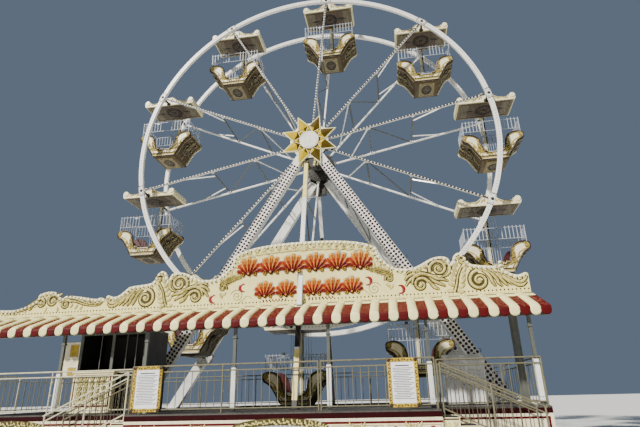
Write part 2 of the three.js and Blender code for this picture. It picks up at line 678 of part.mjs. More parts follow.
const TUB_OUTLINE = [
  [280, TUB_LOW_EDGE], [390, -1980], [450, -1640], [620, -1410], [930, -1370], [1110, -1500],
  [1090, -1690], [860, -1790], [680, -2050], [TUB_SILL_HALF, TUB_SILL],
];

// Boat-shaped tub: swept front and rear panels, curved seat backs, two benches and a floor pan
function tubPieces() {
  const half = TUB_HALF_DEPTH;
  const outline = mirrored(TUB_OUTLINE).reverse();
  const pieces = [
    facePlate(outline, -half, -half + TUB_SHEET),
    facePlate(outline, half - TUB_SHEET, half),
    facePlate(mirrored([[320, PAN_BOTTOM], [TUB_SILL_HALF - 10, TUB_SILL + 10]]), -half + 110, half - 110),
    facePlate(mirrored([[TUB_SILL_HALF - 5, TUB_SILL], [TUB_SILL_HALF + 10, TUB_SILL + 30]]),
      -half + 10, half - 10),
  ];
  for (const side of [-1, 1]) {
    const back = [
      [TUB_SILL_HALF, TUB_SILL + 5], [670, -2040], [850, -1780], [1070, -1680], [1090, -1510], [1050, -1510],
      [1030, -1640], [830, -1740], [635, -2010], [TUB_SILL_HALF - 30, TUB_SILL + 5],
    ].map(([x, z]) => [side * x, z]);
    pieces.push(facePlate(side > 0 ? back : back.reverse(), -half + 10, half - 10));
    const bench = [
      [230, TUB_SILL + 10], [270, TUB_SILL + 10], [270, SEAT_HEIGHT - 40], [640, SEAT_HEIGHT - 40],
      [670, SEAT_HEIGHT], [230, SEAT_HEIGHT],
    ].map(([x, z]) => [side * x, z]);
    pieces.push(facePlate(side > 0 ? bench : bench.reverse(), -half + 10, half - 10));
  }
  return pieces;
}

// Two rails round the gondola on upright bars, and the hanger post behind that carries the tub
function cagePieces() {
  const x = CAGE_HALF;
  const y = CAGE_DEPTH_HALF;
  const t = CAGE_BAR;
  const ring = (inset) => [
    [-x + inset, -y + inset], [x - inset, -y + inset], [x - inset, y - inset], [-x + inset, y - inset],
  ];
  const pieces = [];
  for (const z of [CAGE_TOP, CAGE_BOTTOM]) {
    pieces.push(floorPlate(ring(0), z - t / 2, z + t / 2).subtract(floorPlate(ring(t), z - t, z + t)));
  }
  const upright = (barX, barY, width, foot, top) =>
    box(barX - width / 2, barX + width / 2, barY - t / 2, barY + t / 2, foot, top);
  for (const side of [-1, 1]) {
    const barY = side * (y - t / 2);
    for (const barX of [-x + t / 2, x - t / 2]) {
      pieces.push(upright(barX, barY, t, -1480, CAGE_TOP));
    }
  }
  pieces.push(upright(0, y - t / 2, HANGER_WIDTH, TUB_SILL + 60, CANOPY_BOTTOM + 20));
  return pieces;
}

function cabin() {
  return join([...canopyPieces(), ...tubPieces(), ...cagePieces()]);
}

place('base_frame', baseFrame(), DARK());
place('deck', deck(), GREY_DECK());
place('skirt_front', frontSkirt(), CREAM());
place('skirt_back', backSkirt(), CREAM());
place('steps_left', steps(-1), CREAM());
place('steps_right', steps(1), CREAM());
const frontRailY = STEP_FRONT + RAIL_SIZE;
const rearRailY = STEP_FRONT + STEP_WIDTH - RAIL_SIZE;
place('stair_rail_left_front', stairRail(-1, frontRailY), GALVANISED());
place('stair_rail_left_rear', stairRail(-1, rearRailY), GALVANISED());
place('stair_rail_right_front', stairRail(1, frontRailY), GALVANISED());
place('stair_rail_right_rear', stairRail(1, rearRailY), GALVANISED());

const railY = DECK_FRONT + 60;
const landingRailY = LANDING_FRONT + 95;
const LANDING_JOINT = 760;
const railRear = DECK_REAR - 60;
const railLeft = DECK_LEFT + 60;
const railRight = DECK_RIGHT - 60;
const fences = {
  fence_left: railing([railLeft, railY], [LANDING_LEFT - 40, railY]),
  fence_landing_left: railing([LANDING_LEFT + 60, landingRailY], [LANDING_JOINT - 30, landingRailY]),
  fence_landing_right: railing([LANDING_JOINT + 30, landingRailY], [LANDING_RIGHT - 60, landingRailY]),
  fence_right: railing([LANDING_RIGHT + 60, railY], [railRight, railY]),
  fence_end_left: railing([railLeft, railY + 60], [railLeft, railRear - 60], REAR_BALUSTER_PITCH),
  fence_end_right: railing([railRight, railY + 60], [railRight, railRear - 60], REAR_BALUSTER_PITCH),
  fence_rear: railing([railLeft, railRear], [railRight, railRear], REAR_BALUSTER_PITCH),
};
Object.entries(fences).forEach(([name, body]) => place(name, body, GALVANISED()));

place('leg_front_left', leg(-1, -LEG_PLANE, false), WHITE());
place('leg_front_right', leg(1, -LEG_PLANE, false), WHITE());
place('leg_rear_left', leg(-1, LEG_PLANE, true), WHITE());
place('leg_rear_right', leg(1, LEG_PLANE, true), WHITE());
place('tower_head_front', towerHead(-1), DARK());
place('tower_head_rear', towerHead(1), DARK());
place('prop_front', prop(FRONT_PROP_FOOT), CREAM());
place('prop_rear', prop(REAR_PROP_FOOT), CREAM());
place('hub_star', hubStar(), GOLD());

const archCrest = [...ARCH_CREST, ...ARCH_CREST.map(([x, z]) => [-x, z]).reverse().slice(1)];
const archSlot = propSlot(BOARD_FRONT - 10, BOARD_FRONT + BOARD_THICKNESS + 10, BOARD_BOTTOM + 1030);
place('board_centre', boardPanel(archCrest).subtract(archSlot), CREAM());
place('board_right', boardPanel(shiftIn(RIGHT_CREST, SEAT)), CREAM());
place('board_left', boardPanel(shiftIn(RIGHT_CREST, SEAT).map(([x, z]) => [-x, z])), CREAM());
place('board_far_left', boardPanel(shiftIn(FAR_CREST, -SEAT)), CREAM());
place('awning', awning(), RED());
place('awning_frame', awningFrame(), GALVANISED());
place('pay_box', payBox(), DARK());
place('pay_desk', payDesk(), CREAM());
place('notice_board_left', noticeBoard(-3950, -3180), GOLD());
place('notice_board_right', noticeBoard(2360, 3060), GOLD());
place('drive_housing', driveHousing(), WHITE());

const wheel = new THREE.Group();
wheel.position.set(0, 0, HUB_HEIGHT);
wheel.rotation.y = FIRST_CABIN_ANGLE;
assembly.add(wheel);
place('hub', hub(), DARK(), wheel);
place('rim_front', rim(-RIM_PLANE), WHITE(), wheel);
place('rim_rear', rim(RIM_PLANE), WHITE(), wheel);

const twoDigits = (number) => String(number).padStart(2, '0');
const spokeSolid = spoke();
const cabinSolid = cabin();
for (let i = 0; i < CABIN_COUNT; i += 1) {
  const step = (2 * Math.PI * i) / CABIN_COUNT;
  place(`spoke_${twoDigits(i + 1)}`, spokeSolid, WHITE(), wheel).rotation.y = step;
  const angle = FIRST_CABIN_ANGLE + step;
  place(`cabin_${twoDigits(i + 1)}`, cabinSolid, CREAM())
    .position.set(PIVOT_RADIUS * Math.sin(angle), 0, HUB_HEIGHT + PIVOT_RADIUS * Math.cos(angle));
}

export default assembly;
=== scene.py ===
import math
import bmesh
import bpy
from mathutils import Matrix, Vector


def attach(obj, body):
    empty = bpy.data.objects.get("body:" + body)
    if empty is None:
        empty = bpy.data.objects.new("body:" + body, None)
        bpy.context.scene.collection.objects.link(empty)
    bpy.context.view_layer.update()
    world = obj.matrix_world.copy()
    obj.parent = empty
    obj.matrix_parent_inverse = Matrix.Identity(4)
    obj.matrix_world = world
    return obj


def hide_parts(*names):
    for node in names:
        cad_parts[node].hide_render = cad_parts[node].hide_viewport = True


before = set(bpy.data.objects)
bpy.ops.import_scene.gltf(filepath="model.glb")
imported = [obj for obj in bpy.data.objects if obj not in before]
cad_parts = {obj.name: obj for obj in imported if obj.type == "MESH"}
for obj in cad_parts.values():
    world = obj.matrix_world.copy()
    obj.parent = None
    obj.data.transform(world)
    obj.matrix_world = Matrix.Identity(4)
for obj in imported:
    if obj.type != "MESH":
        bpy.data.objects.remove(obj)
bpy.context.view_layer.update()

# Travelling ferris wheel, in metres. The sizes repeat the driving dimensions of the part's source.
HUB_HEIGHT = 10.45
HUB_RADIUS = 0.62
PIVOT_RADIUS = 6.8
RIM_PLANE = 1.065
RIM_RADIAL = 0.17
RIM_AXIAL = 0.12
CABIN_COUNT = 10
CABIN_STEP = 2 * math.pi / CABIN_COUNT
FIRST_CABIN = math.radians(6.4)
LEG_PLANE = 1.3
LEG_THICKNESS = 0.22
LEG_TOP_Z = HUB_HEIGHT - 0.17
LEG_FOOT_X = 5.78
KNUCKLE_Z = 3.0
STAR_DROP = 0.07
PROP_X = -0.12
PROP_SIZE = 0.13
DECK_TOP = 1.22
DECK_LEFT = -9.85
DECK_RIGHT = 6.1
DECK_FRONT = -4.1
DECK_REAR = 2.7
LANDING_LEFT = -4.05
LANDING_RIGHT = 3.5
LANDING_FRONT = -5.1
STEP_COUNT = 6
STEP_GOING = 0.385
STEP_WIDTH = 0.84
TOP_RAIL = 1.11
UPPER_RAIL = 0.97
LOW_RAIL = 0.1
FIRST_POST_X = 5.95
BAY = 2.55
POST_COUNT = 7
POST_Y = -3.955
BOARD_FRONT = -2.78
BOARD_BOTTOM = 4.1
AWNING_RIGHT = 6.48
TONGUE = 0.25
TONGUE_COUNT = 67
AWNING_BACK = (-2.79, 4.11)
AWNING_FRONT = (-4.17, 3.54)
VALANCE_BOTTOM = 3.31
TUB_FACE = 0.6


# Mesh building

class Stock:
    """Points, faces and finishes of one piece; a face without a finish takes the piece's first one."""

    def __init__(self):
        """Start empty, at the origin."""
        self.points = []
        self.faces = []
        self.finishes = []
        self.place = Matrix.Identity(4)

    def add(self, points, faces, finish=None):
        """Take in faces, with their points moved from the local place."""
        start = len(self.points)
        self.points.extend(self.place @ Vector(p) for p in points)
        for face in faces:
            self.faces.append([start + i for i in face])
            self.finishes.append(finish)


def skin(stock, sections, finish=None, ring=True, ends=True, loop=False):
    """Quads between sections of equal count; ring closes each section, loop closes the run."""
    count = len(sections[0])
    rows = len(sections)
    faces = []
    for r in range(rows if loop else rows - 1):
        a, b = r * count, ((r + 1) % rows) * count
        for i in range(count if ring else count - 1):
            j = (i + 1) % count
            faces.append((a + i, a + j, b + j, b + i))
    if ends and ring and not loop:
        faces.append(tuple(range(count))[::-1])
        faces.append(tuple(range((rows - 1) * count, rows * count)))
    stock.add([p for s in sections for p in s], faces, finish)


def plank(stock, low, high, edge, finish=None):
    """A block with its edges eased by a small chamfer."""
    (x0, y0, z0), (x1, y1, z1) = low, high
    e = edge

    def ring(inset, z):
        """The block's outline at a height, cut back at its corners."""
        return [(x0 + e + inset, y0 + inset, z), (x1 - e - inset, y0 + inset, z),
                (x1 - inset, y0 + e + inset, z), (x1 - inset, y1 - e - inset, z),
                (x1 - e - inset, y1 - inset, z), (x0 + e + inset, y1 - inset, z),
                (x0 + inset, y1 - e - inset, z), (x0 + inset, y0 + e + inset, z)]

    skin(stock, [ring(e, z0), ring(0, z0 + e), ring(0, z1 - e), ring(e, z1)], finish)


def across_axes(along, side):
    """Two directions square to a bar, the second one nearest to side."""
    along = along.normalized()
    side = Vector(side)
    v = (side - along * side.dot(along)).normalized()
    return v.cross(along), v


def strut(stock, start, end, width, depth=None, finish=None, side=(0, 1, 0)):
    """A square-edged bar; depth is measured along side, width across it."""
    start, end = Vector(start), Vector(end)
    u, v = across_axes(end - start, side)
    a, b = u * width / 2, v * (width if depth is None else depth) / 2
    skin(stock, [[p - a - b, p + a - b, p + a + b, p - a + b] for p in (start, end)], finish)


def tube(stock, path, radius, sides=8, finish=None, loop=False, up=(0.02, 0.03, 1)):
    """A round bar along a path."""
    path = [Vector(p) for p in path]
    last = len(path) - 1
    sections = []
    for i, p in enumerate(path):
        before = path[i - 1] if (i > 0 or loop) else p
        after = path[(i + 1) % len(path)] if (i < last or loop) else p
        u, v = across_axes(after - before, up)
        turn = [2 * math.pi * (k + 0.5) / sides for k in range(sides)]
        sections.append([p + (u * math.cos(t) + v * math.sin(t)) * radius for t in turn])
    skin(stock, sections, finish, loop=loop)


def plate(stock, outline, back, front, finish=None, ease=0.0):
    """An outline in u and v, from back to front along w; ease rounds over the front edge."""
    sections = [[(u, v, back) for u, v in outline]]
    if ease:
        sections.append([(u, v, front - ease) for u, v in outline])
        sections.append([(u, v, front) for u, v in offset(outline, -ease)])
    else:
        sections.append([(u, v, front) for u, v in outline])
    skin(stock, sections, finish, ends=False)
    stock.add(sections[0], [tuple(range(len(outline)))[::-1]], finish)
    stock.add(sections[-1], [tuple(range(len(outline)))], finish)


def area(outline):
    """The area inside an outline; negative if it runs clockwise."""
    return sum(a[0] * b[1] - b[0] * a[1] for a, b in zip(outline, outline[1:] + outline[:1])) / 2


def offset(outline, amount):
    """The outline moved out by amount, or in if it is negative."""
    out = []
    sign = 1 if area(outline) > 0 else -1
    count = len(outline)
    for i in range(count):
        a, b, c = outline[i - 1], outline[i], outline[(i + 1) % count]
        d1, d2 = Vector((b[0] - a[0], b[1] - a[1])), Vector((c[0] - b[0], c[1] - b[1]))
        if d1.length < 1e-9 or d2.length < 1e-9:
            out.append(b)
            continue
        d1.normalize()
        d2.normalize()
        n = Vector((d1.y + d2.y, -d1.x - d2.x))
        if n.length < 1e-6:
            n = Vector((d1.y, -d1.x))
        n.normalize()
        reach = amount / max(0.5, n.dot(Vector((d1.y, -d1.x))))
        out.append((b[0] + sign * n.x * reach, b[1] + sign * n.y * reach))
    return out


def offset_line(line, amount):
    """An open line moved sideways; a positive amount goes to its right."""
    out = []
    last = len(line) - 1
    for i, (u, v) in enumerate(line):
        (ua, va), (ub, vb) = line[max(0, i - 1)], line[min(last, i + 1)]
        run = math.hypot(ub - ua, vb - va)
        out.append((u + (vb - va) / run * amount, v - (ub - ua) / run * amount))
    return out


def turned(stock, profile, steps, finish=None):
    """A profile of radius and w, turned about the local w axis."""
    sections = []
    for i in range(steps):
        t = 2 * math.pi * i / steps
        sections.append([(r * math.cos(t), r * math.sin(t), w) for r, w in profile])
    closed = profile[0][0] > 1e-6 or profile[-1][0] > 1e-6
    skin(stock, sections, finish, ring=closed, loop=True)


def flow(points, per=6):
    """A smooth open line through the points."""
    points = [Vector(p) for p in points]
    out = []
    for i in range(len(points) - 1):
        p0 = points[i - 1] if i > 0 else points[0] * 2 - points[1]
        p1, p2 = points[i], points[i + 1]
        last = points[i + 2] if i + 2 < len(points) else p2 * 2 - p1
        for k in range(per):
            t = k / per
            out.append(0.5 * ((2 * p1) + (p2 - p0) * t + (2 * p0 - 5 * p1 + 4 * p2 - last) * t * t
                              + (3 * p1 - p0 - 3 * p2 + last) * t ** 3))
    out.append(points[-1])
    return [tuple(p) for p in out]


def evenly(path, pitch):
    """Points on an open path at an even pitch."""
    path = [Vector(p) for p in path]
    total = sum((b - a).length for a, b in zip(path, path[1:]))
    count = max(1, round(total / pitch))
    out = []
    walked, wanted = 0.0, total / count / 2
    for a, b in zip(path, path[1:]):
        length = (b - a).length
        while length > 1e-9 and wanted <= walked + length + 1e-9 and len(out) < count:
            out.append(tuple(a.lerp(b, (wanted - walked) / length)))
            wanted += total / count
        walked += length
    return out


def circle(radius, steps, cu=0.0, cv=0.0):
    """Points round a circle."""
    turn = [2 * math.pi * k / steps for k in range(steps)]
    return [(cu + radius * math.cos(t), cv + radius * math.sin(t)) for t in turn]


def rectangle(u0, v0, u1, v1):
    """The corners of an upright rectangle."""
    return [(u0, v0), (u1, v0), (u1, v1), (u0, v1)]


def flipped(s, points):
    """Points on the right as they are, or mirrored to the left if s is negative."""
    return [(s * u, v) for u, v in points]


def taper(width, loss):
    """A width that falls off by a share on the way."""
    return lambda t: width * (1 - loss * t)


def swelling(width, least, start, span):
    """A width that rises and falls as part of a half wave, and never under a least share."""
    return lambda t: width * max(least, math.sin(math.pi * (start + span * t)))


def volute(cu, cv, radius, start, sweep, eye=0.1, steps=26):
    """A spiral from its outer end in to its eye; angles in degrees."""
    out = []
    for i in range(steps + 1):
        t = i / steps
        r = radius * (eye + (1 - eye) * (1 - t) ** 1.15)
        a = math.radians(start + sweep * t)
        out.append((cu + r * math.cos(a), cv + r * math.sin(a)))
    return out


BEDDED = 0.03
HALF_ROUND = ((-1.0, 0.0), (-0.72, 0.66), (0.0, 1.0), (0.72, 0.66), (1.0, 0.0))


def ridge(stock, path, width, height, finish=None, sunk=0.004, shift=0.0):
    """A carved half-round moulding on the local face; width, height and shift may vary along it.

    It goes into the face by sunk, which is BEDDED where the face lies back from the local one.
    """
    last = len(path) - 1
    sections = []
    for i, (u, v) in enumerate(path):
        t = i / last
        (ua, va), (ub, vb) = path[max(i - 1, 0)], path[min(i + 1, last)]
        run = math.hypot(ub - ua, vb - va) or 1.0
        nu, nv = -(vb - va) / run, (ub - ua) / run
        w = (width(t) if callable(width) else width) / 2
        h = height(t) if callable(height) else height
        s = shift(t) if callable(shift) else shift
        sections.append([(u + nu * (s + k * w), v + nv * (s + k * w), -sunk + (h + sunk) * up)
                         for k, up in HALF_ROUND])
    skin(stock, sections, finish)


def border(stock, outline, width, height, finish=None):
    """A moulding all round an outline."""
    ridge(stock, outline + outline[:2], width, height, finish)


def leaf_path(u, v, heading, length, bend, steps=7):
    """The middle line of a leaf that bends by bend degrees."""
    path = [(u, v)]
    a = math.radians(heading)
    for _ in range(steps):
        u += math.cos(a) * length / steps
        v += math.sin(a) * length / steps
        a += math.radians(bend) / steps
        path.append((u, v))
    return path


def leaf(stock, u, v, heading, length, width, bend=0.0, height=0.02, finish=None, under=None):
    """A carved leaf lobe that starts at a point and curves away; under adds a wider dark copy beneath it as
    painted shadow.
    """
    path = leaf_path(u, v, heading, length, bend)

    def swell(t):
        """The lobe's width at a share of its length."""
        return width * max(0.12, math.sin(math.pi * (0.12 + 0.84 * t)) ** 0.8)

    if under is not None:
        ridge(stock, path, lambda t: swell(t) * 1.15 + 0.016, 0.006, under)
    ridge(stock, path, swell, lambda t: height * max(0.25, math.sin(math.pi * (0.15 + 0.8 * t))), finish)


def dome(stock, centre, normal, radius, height, finish=None, sides=6):
    """A small lamp cap or bolt head."""
    centre, normal = Vector(centre), Vector(normal).normalized()
    u, v = across_axes(normal, (0, 0, 1) if abs(normal.z) < 0.9 else (0, 1, 0))
    turn = [2 * math.pi * k / sides for k in range(sides)]
    points = []
    for reach, rise in ((1.0, 0.0), (0.75, 0.7)):
        points += [centre + (u * math.cos(t) + v * math.sin(t)) * radius * reach + normal * height * rise
                   for t in turn]
    points.append(centre + normal * height)
    faces = [tuple(range(sides))]
    for k in range(sides):
        j = (k + 1) % sides
        faces.append((k, j, sides + j, sides + k))
        faces.append((sides + k, sides + j, 2 * sides))
    stock.add(points, faces, finish)


def stud(stock, u, v, level, radius, height, finish=None, sides=6):
    """A lamp cap or bolt head on the local face, from a level up."""
    dome(stock, (u, v, level), (0, 0, 1), radius, height, finish, sides)


def boss(stock, u, v, radius, height, finish=None, sides=10):
    """A dome on the local face."""
    ring = circle(1, sides)
    points = [(u + radius * a, v + radius * b, -0.002) for a, b in ring]
    points += [(u + 0.75 * radius * a, v + 0.75 * radius * b, height * 0.7) for a, b in ring]
    points.append((u, v, height))
    faces = [tuple(range(sides))[::-1]]
    for k in range(sides):
        j = (k + 1) % sides
        faces.append((k, j, sides + j, sides + k))
        faces.append((sides + k, sides + j, 2 * sides))
    stock.add(points, faces, finish)


def face_at(origin, right, up):
    """A local face: u to the right, v up and w out of it."""
    right, up = Vector(right).normalized(), Vector(up).normalized()
    out = right.cross(up)
    return Matrix.Translation(origin) @ Matrix((right, up, out)).transposed().to_4x4()


FRONT = ((1, 0, 0), (0, 0, 1))
REAR = ((-1, 0, 0), (0, 0, 1))


def finished_mesh(name, stock, paints, sharp=38):
    """The mesh of a piece; its edges stay sharp beyond an angle in degrees."""
    mesh = bpy.data.meshes.new(name)
    mesh.from_pydata([tuple(p) for p in stock.points], [], stock.faces)
    slots = {paint: slot for slot, paint in enumerate(paints)}
    mesh.polygons.foreach_set("material_index", [slots[f] if f else 0 for f in stock.finishes])
    for paint in paints:
        mesh.materials.append(paint)
    bm = bmesh.new()
    bm.from_mesh(mesh)
    bmesh.ops.recalc_face_normals(bm, faces=bm.faces)
    bm.to_mesh(mesh)
    bm.free()
    mesh.shade_smooth()
    mesh.set_sharp_from_angle(angle=math.radians(sharp))
    return mesh


def hang(name, mesh, body, at=(0, 0, 0), stands_for=()):
    """An object that moves with a body, in place of the nodes it stands for."""
    piece = bpy.data.objects.new(name, mesh)
    bpy.context.scene.collection.objects.link(piece)
    piece.location = at
    bpy.context.view_layer.update()
    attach(piece, body)
    if stands_for:
        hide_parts(*stands_for)
    return piece


def make(name, stock, paints, body="root", stands_for=(), sharp=38):
    """A finished piece from its stock."""
    return hang(name, finished_mesh(name, stock, paints, sharp), body, stands_for=stands_for)


def paint_node(node, paint):
    """One finish for a node of the frame that stays in view."""
    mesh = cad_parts[node].data
    mesh.materials.clear()
    mesh.materials.append(paint)


# Camera

# The photograph's width and focal length in pixels, and the camera's place in metres and turns in degrees.
PHOTO_WIDTH = 640
FOCAL_LENGTH = 477.6
SENSOR_WIDTH = 36
CAMERA_PLACE = (2.625, -16.803, 1.6)
CAMERA_YAW = -8.48
CAMERA_PITCH = 20.67
CAMERA_ROLL = -1.36


def aim_camera():
    """The camera at the place from which the wheel was seen."""
    yaw, pitch, roll = (math.radians(a) for a in (CAMERA_YAW, CAMERA_PITCH, CAMERA_ROLL))
    ahead = Vector((math.sin(yaw) * math.cos(pitch), math.cos(yaw) * math.cos(pitch), math.sin(pitch)))
    level = Vector((math.cos(yaw), -math.sin(yaw), 0))
    above = level.cross(ahead)
    right = math.cos(roll) * level + math.sin(roll) * above
    up = -math.sin(roll) * level + math.cos(roll) * above
    data = bpy.data.cameras.new("view")
    data.sensor_width = SENSOR_WIDTH
    data.lens = SENSOR_WIDTH * FOCAL_LENGTH / PHOTO_WIDTH
    data.clip_end = 500
    camera = bpy.data.objects.new("view", data)
    bpy.context.scene.collection.objects.link(camera)
    turn = Matrix((right, up, -ahead)).transposed().to_4x4()
    camera.matrix_world = Matrix.Translation(CAMERA_PLACE) @ turn
    bpy.context.scene.camera = camera


aim_camera()


# Finishes

def add_node(nodes, kind, **values):
    """A shader node with settings and inputs by name."""
    node = nodes.new(kind)
    for name, value in values.items():
        if hasattr(node, name):
            setattr(node, name, value)
        else:
            node.inputs[name.replace("_", " ")].default_value = value
    return node


def weathering_and_hollow_shade_group():
    """Soft grime, vertical rain streaks, painted shade in the hollows found by pointiness, and fine
    unevenness, from the piece's own coordinates.
    """
    group = bpy.data.node_groups.new("weathering and hollow shade", "ShaderNodeTree")
    sockets = (("Clean", "NodeSocketColor", (1, 1, 1, 1)), ("Grime and shade", "NodeSocketColor", (0, 0, 0, 1)),
               ("Amount", "NodeSocketFloat", 0.3), ("Size", "NodeSocketFloat", 2.0),
               ("Gloss", "NodeSocketFloat", 0.4))
    for name, kind, value in sockets:
        group.interface.new_socket(name, in_out="INPUT", socket_type=kind).default_value = value
    for name, kind in (("Colour", "NodeSocketColor"), ("Roughness", "NodeSocketFloat"),
                       ("Relief", "NodeSocketFloat")):
        group.interface.new_socket(name, in_out="OUTPUT", socket_type=kind)
    nodes, links = group.nodes, group.links
    start, end = nodes.new("NodeGroupInput"), nodes.new("NodeGroupOutput")
    place = nodes.new("ShaderNodeTexCoord")
    patches = add_node(nodes, "ShaderNodeTexNoise", Detail=6.0, Roughness=0.62)
    links.new(place.outputs["Object"], patches.inputs["Vector"])
    links.new(start.outputs["Size"], patches.inputs["Scale"])
    stretch = add_node(nodes, "ShaderNodeMapping", Scale=(9, 9, 0.7))
    links.new(place.outputs["Object"], stretch.inputs["Vector"])
    streaks = add_node(nodes, "ShaderNodeTexNoise", Scale=1.6, Detail=4.0)
    links.new(stretch.outputs["Vector"], streaks.inputs["Vector"])
    both = add_node(nodes, "ShaderNodeMath", operation="MULTIPLY")
    links.new(patches.outputs["Fac"], both.inputs[0])
    links.new(streaks.outputs["Fac"], both.inputs[1])
    spread = add_node(nodes, "ShaderNodeMapRange", From_Min=0.2, From_Max=0.42)
    links.new(both.outputs[0], spread.inputs["Value"])
    grain = add_node(nodes, "ShaderNodeTexNoise", Scale=55.0, Detail=3.0)
    links.new(place.outputs["Object"], grain.inputs["Vector"])
    # Painted shade in the hollows: concave spots, found by pointiness, are moved towards the second colour.
    hollow = nodes.new("ShaderNodeNewGeometry")
    hollow_shade = add_node(nodes, "ShaderNodeMapRange", From_Min=0.5, From_Max=0.44, To_Max=0.8)
    links.new(hollow.outputs["Pointiness"], hollow_shade.inputs["Value"])
    grime_and_hollow_shade = add_node(nodes, "ShaderNodeMath", operation="ADD", use_clamp=True)
    links.new(spread.outputs[0], grime_and_hollow_shade.inputs[0])
    links.new(hollow_shade.outputs[0], grime_and_hollow_shade.inputs[1])
    held = add_node(nodes, "ShaderNodeMath", operation="MULTIPLY")
    links.new(grime_and_hollow_shade.outputs[0], held.inputs[0])
    links.new(start.outputs["Amount"], held.inputs[1])
    blend = add_node(nodes, "ShaderNodeMix", data_type="RGBA")
    links.new(held.outputs[0], blend.inputs["Factor"])
    links.new(start.outputs["Clean"], blend.inputs["A"])
    links.new(start.outputs["Grime and shade"], blend.inputs["B"])
    links.new(blend.outputs["Result"], end.inputs["Colour"])
    dull = add_node(nodes, "ShaderNodeMath", operation="MULTIPLY_ADD", use_clamp=True)
    dull.inputs[1].default_value = 0.35
    links.new(held.outputs[0], dull.inputs[0])
    links.new(start.outputs["Gloss"], dull.inputs[2])
    links.new(dull.outputs[0], end.inputs["Roughness"])
    links.new(grain.outputs["Fac"], end.inputs["Relief"])
    return group


WEATHERING_AND_HOLLOW_SHADE = weathering_and_hollow_shade_group()


def rgb(hexed):
    """A display colour as linear light."""
    parts = [int(hexed[i:i + 2], 16) / 255 for i in (0, 2, 4)]
    return (*[p / 12.92 if p <= 0.04045 else ((p + 0.055) / 1.055) ** 2.4 for p in parts], 1)


def coated(name, clean, grime_and_shade, amount=0.3, size=2.0, gloss=0.35, metal=0.0, coat=0.0, bump=0.15,
           depth=0.001, shine=0.5):
    """A weathered coating; clean is its display colour, and the second colour is the one taken by grime and
    by painted shade in its hollows.
    """
    material = bpy.data.materials.new(name)
    material.use_nodes = True
    nodes, links = material.node_tree.nodes, material.node_tree.links
    shader = nodes["Principled BSDF"]
    shader.inputs["Metallic"].default_value = metal
    shader.inputs["Specular IOR Level"].default_value = shine
    shader.inputs["Coat Weight"].default_value = coat
    shader.inputs["Coat Roughness"].default_value = 0.15
    grime_and_shade_node = nodes.new("ShaderNodeGroup")
    grime_and_shade_node.node_tree = WEATHERING_AND_HOLLOW_SHADE
    grime_and_shade_node.inputs["Clean"].default_value = rgb(clean)
    grime_and_shade_node.inputs["Grime and shade"].default_value = rgb(grime_and_shade)
    grime_and_shade_node.inputs["Amount"].default_value = amount
    grime_and_shade_node.inputs["Size"].default_value = size
    grime_and_shade_node.inputs["Gloss"].default_value = gloss
    links.new(grime_and_shade_node.outputs["Colour"], shader.inputs["Base Color"])
    links.new(grime_and_shade_node.outputs["Roughness"], shader.inputs["Roughness"])
    relief = nodes.new("ShaderNodeBump")
    relief.inputs["Strength"].default_value = bump
    relief.inputs["Distance"].default_value = depth
    links.new(grime_and_shade_node.outputs["Relief"], relief.inputs["Height"])
    links.new(relief.outputs["Normal"], shader.inputs["Normal"])
    return material


RIM_WHITE = coated("rim white gloss", "f4f3ee", "a9a79c", 0.3, 3.0, 0.28, coat=0.3)
LEG_WHITE = coated("leg white gloss", "efeeea", "8f8c86", 0.45, 2.0, 0.3, coat=0.3)
CREAM_GLOSS = coated("cream coachwork", "f3eab8", "b09c64", 0.4, 2.6, 0.36, coat=0.15)
PANEL_WHITE = coated("gondola white", "f6edca", "b5a570", 0.4, 4.0, 0.34, coat=0.15)
GOLD_PAINT = coated("gold line paint", "ae9a4a", "524216", 0.6, 7.0, 0.42, bump=0.3, shine=0.3)
# The star's two golds are one gold, lit and shaded: the pale one is painted light on the facets turned to the
# left, the dark one painted shade on the other facets and on the disc between the arms.
STAR_PAINTED_SHADE_GOLD = coated("star dark gold, painted shade", "4e3e00", "2c2200", 0.4, 5.0, 0.55, shine=0.12)
STAR_PAINTED_LIGHT_GOLD = coated("star pale gold, painted light", "bba010", "7e6800", 0.4, 5.0, 0.55, shine=0.12)
OLIVE_GOLD = coated("antique olive gold", "dccf88", "827638", 0.85, 9.0, 0.45, bump=0.4, shine=0.3)
# Dark olive for painted shadow round and under the carvings, and for a fine line on the desk.
DARK_OLIVE_AND_PAINTED_SHADOW = coated("carving shadow olive", "4a4118", "2a230c", 0.6, 9.0, 0.55, shine=0.2)
BOARD_CREAM = coated("board cream", "f6eaa4", "cdba6c", 0.35, 2.2, 0.45, shine=0.25)
PEARL = coated("pearl edging", "faf8ee", "aba07c", 0.4, 12.0, 0.3, coat=0.3)
LAMP_RED = coated("lamp cap, dark red", "3a0709", "160304", 0.5, 30.0, 0.3, coat=0.15, shine=0.25)
LAMP_PEARL = coated("lamp cap, pearl", "f8f6ec", "c9c2ac", 0.3, 30.0, 0.22, coat=0.5)
HOLDER_DARK = coated("lamp holder", "26211f", "0f0d0c", 0.5, 20.0, 0.45)
HOLDER_GREY = coated("lamp holder grey", "8f8d88", "5c5a56", 0.5, 20.0, 0.4)
SCROLL_RED = coated("scroll red", "8c1511", "5a0e0c", 0.4, 8.0, 0.35, coat=0.2)
BAND_RED = coated("dark red band", "2b0307", "150103", 0.45, 3.0, 0.5, shine=0.1)
FASCIA_RED = coated("fascia red line", "560710", "30040a", 0.4, 5.0, 0.45, shine=0.15)
UNDERSIDE = coated("canopy lining", "5a4c3b", "2e261d", 0.7, 3.0, 0.55)
LINING_PALE = coated("canopy lining, pale ends", "6f6751", "3f392b", 0.7, 3.0, 0.55)
LINING_DARK = coated("lining ornament", "2a2019", "15100c", 0.6, 5.0, 0.55)
OLIVE_BROWN = coated("olive brown trim", "8b8260", "4e442a", 0.6, 6.0, 0.5, shine=0.3)
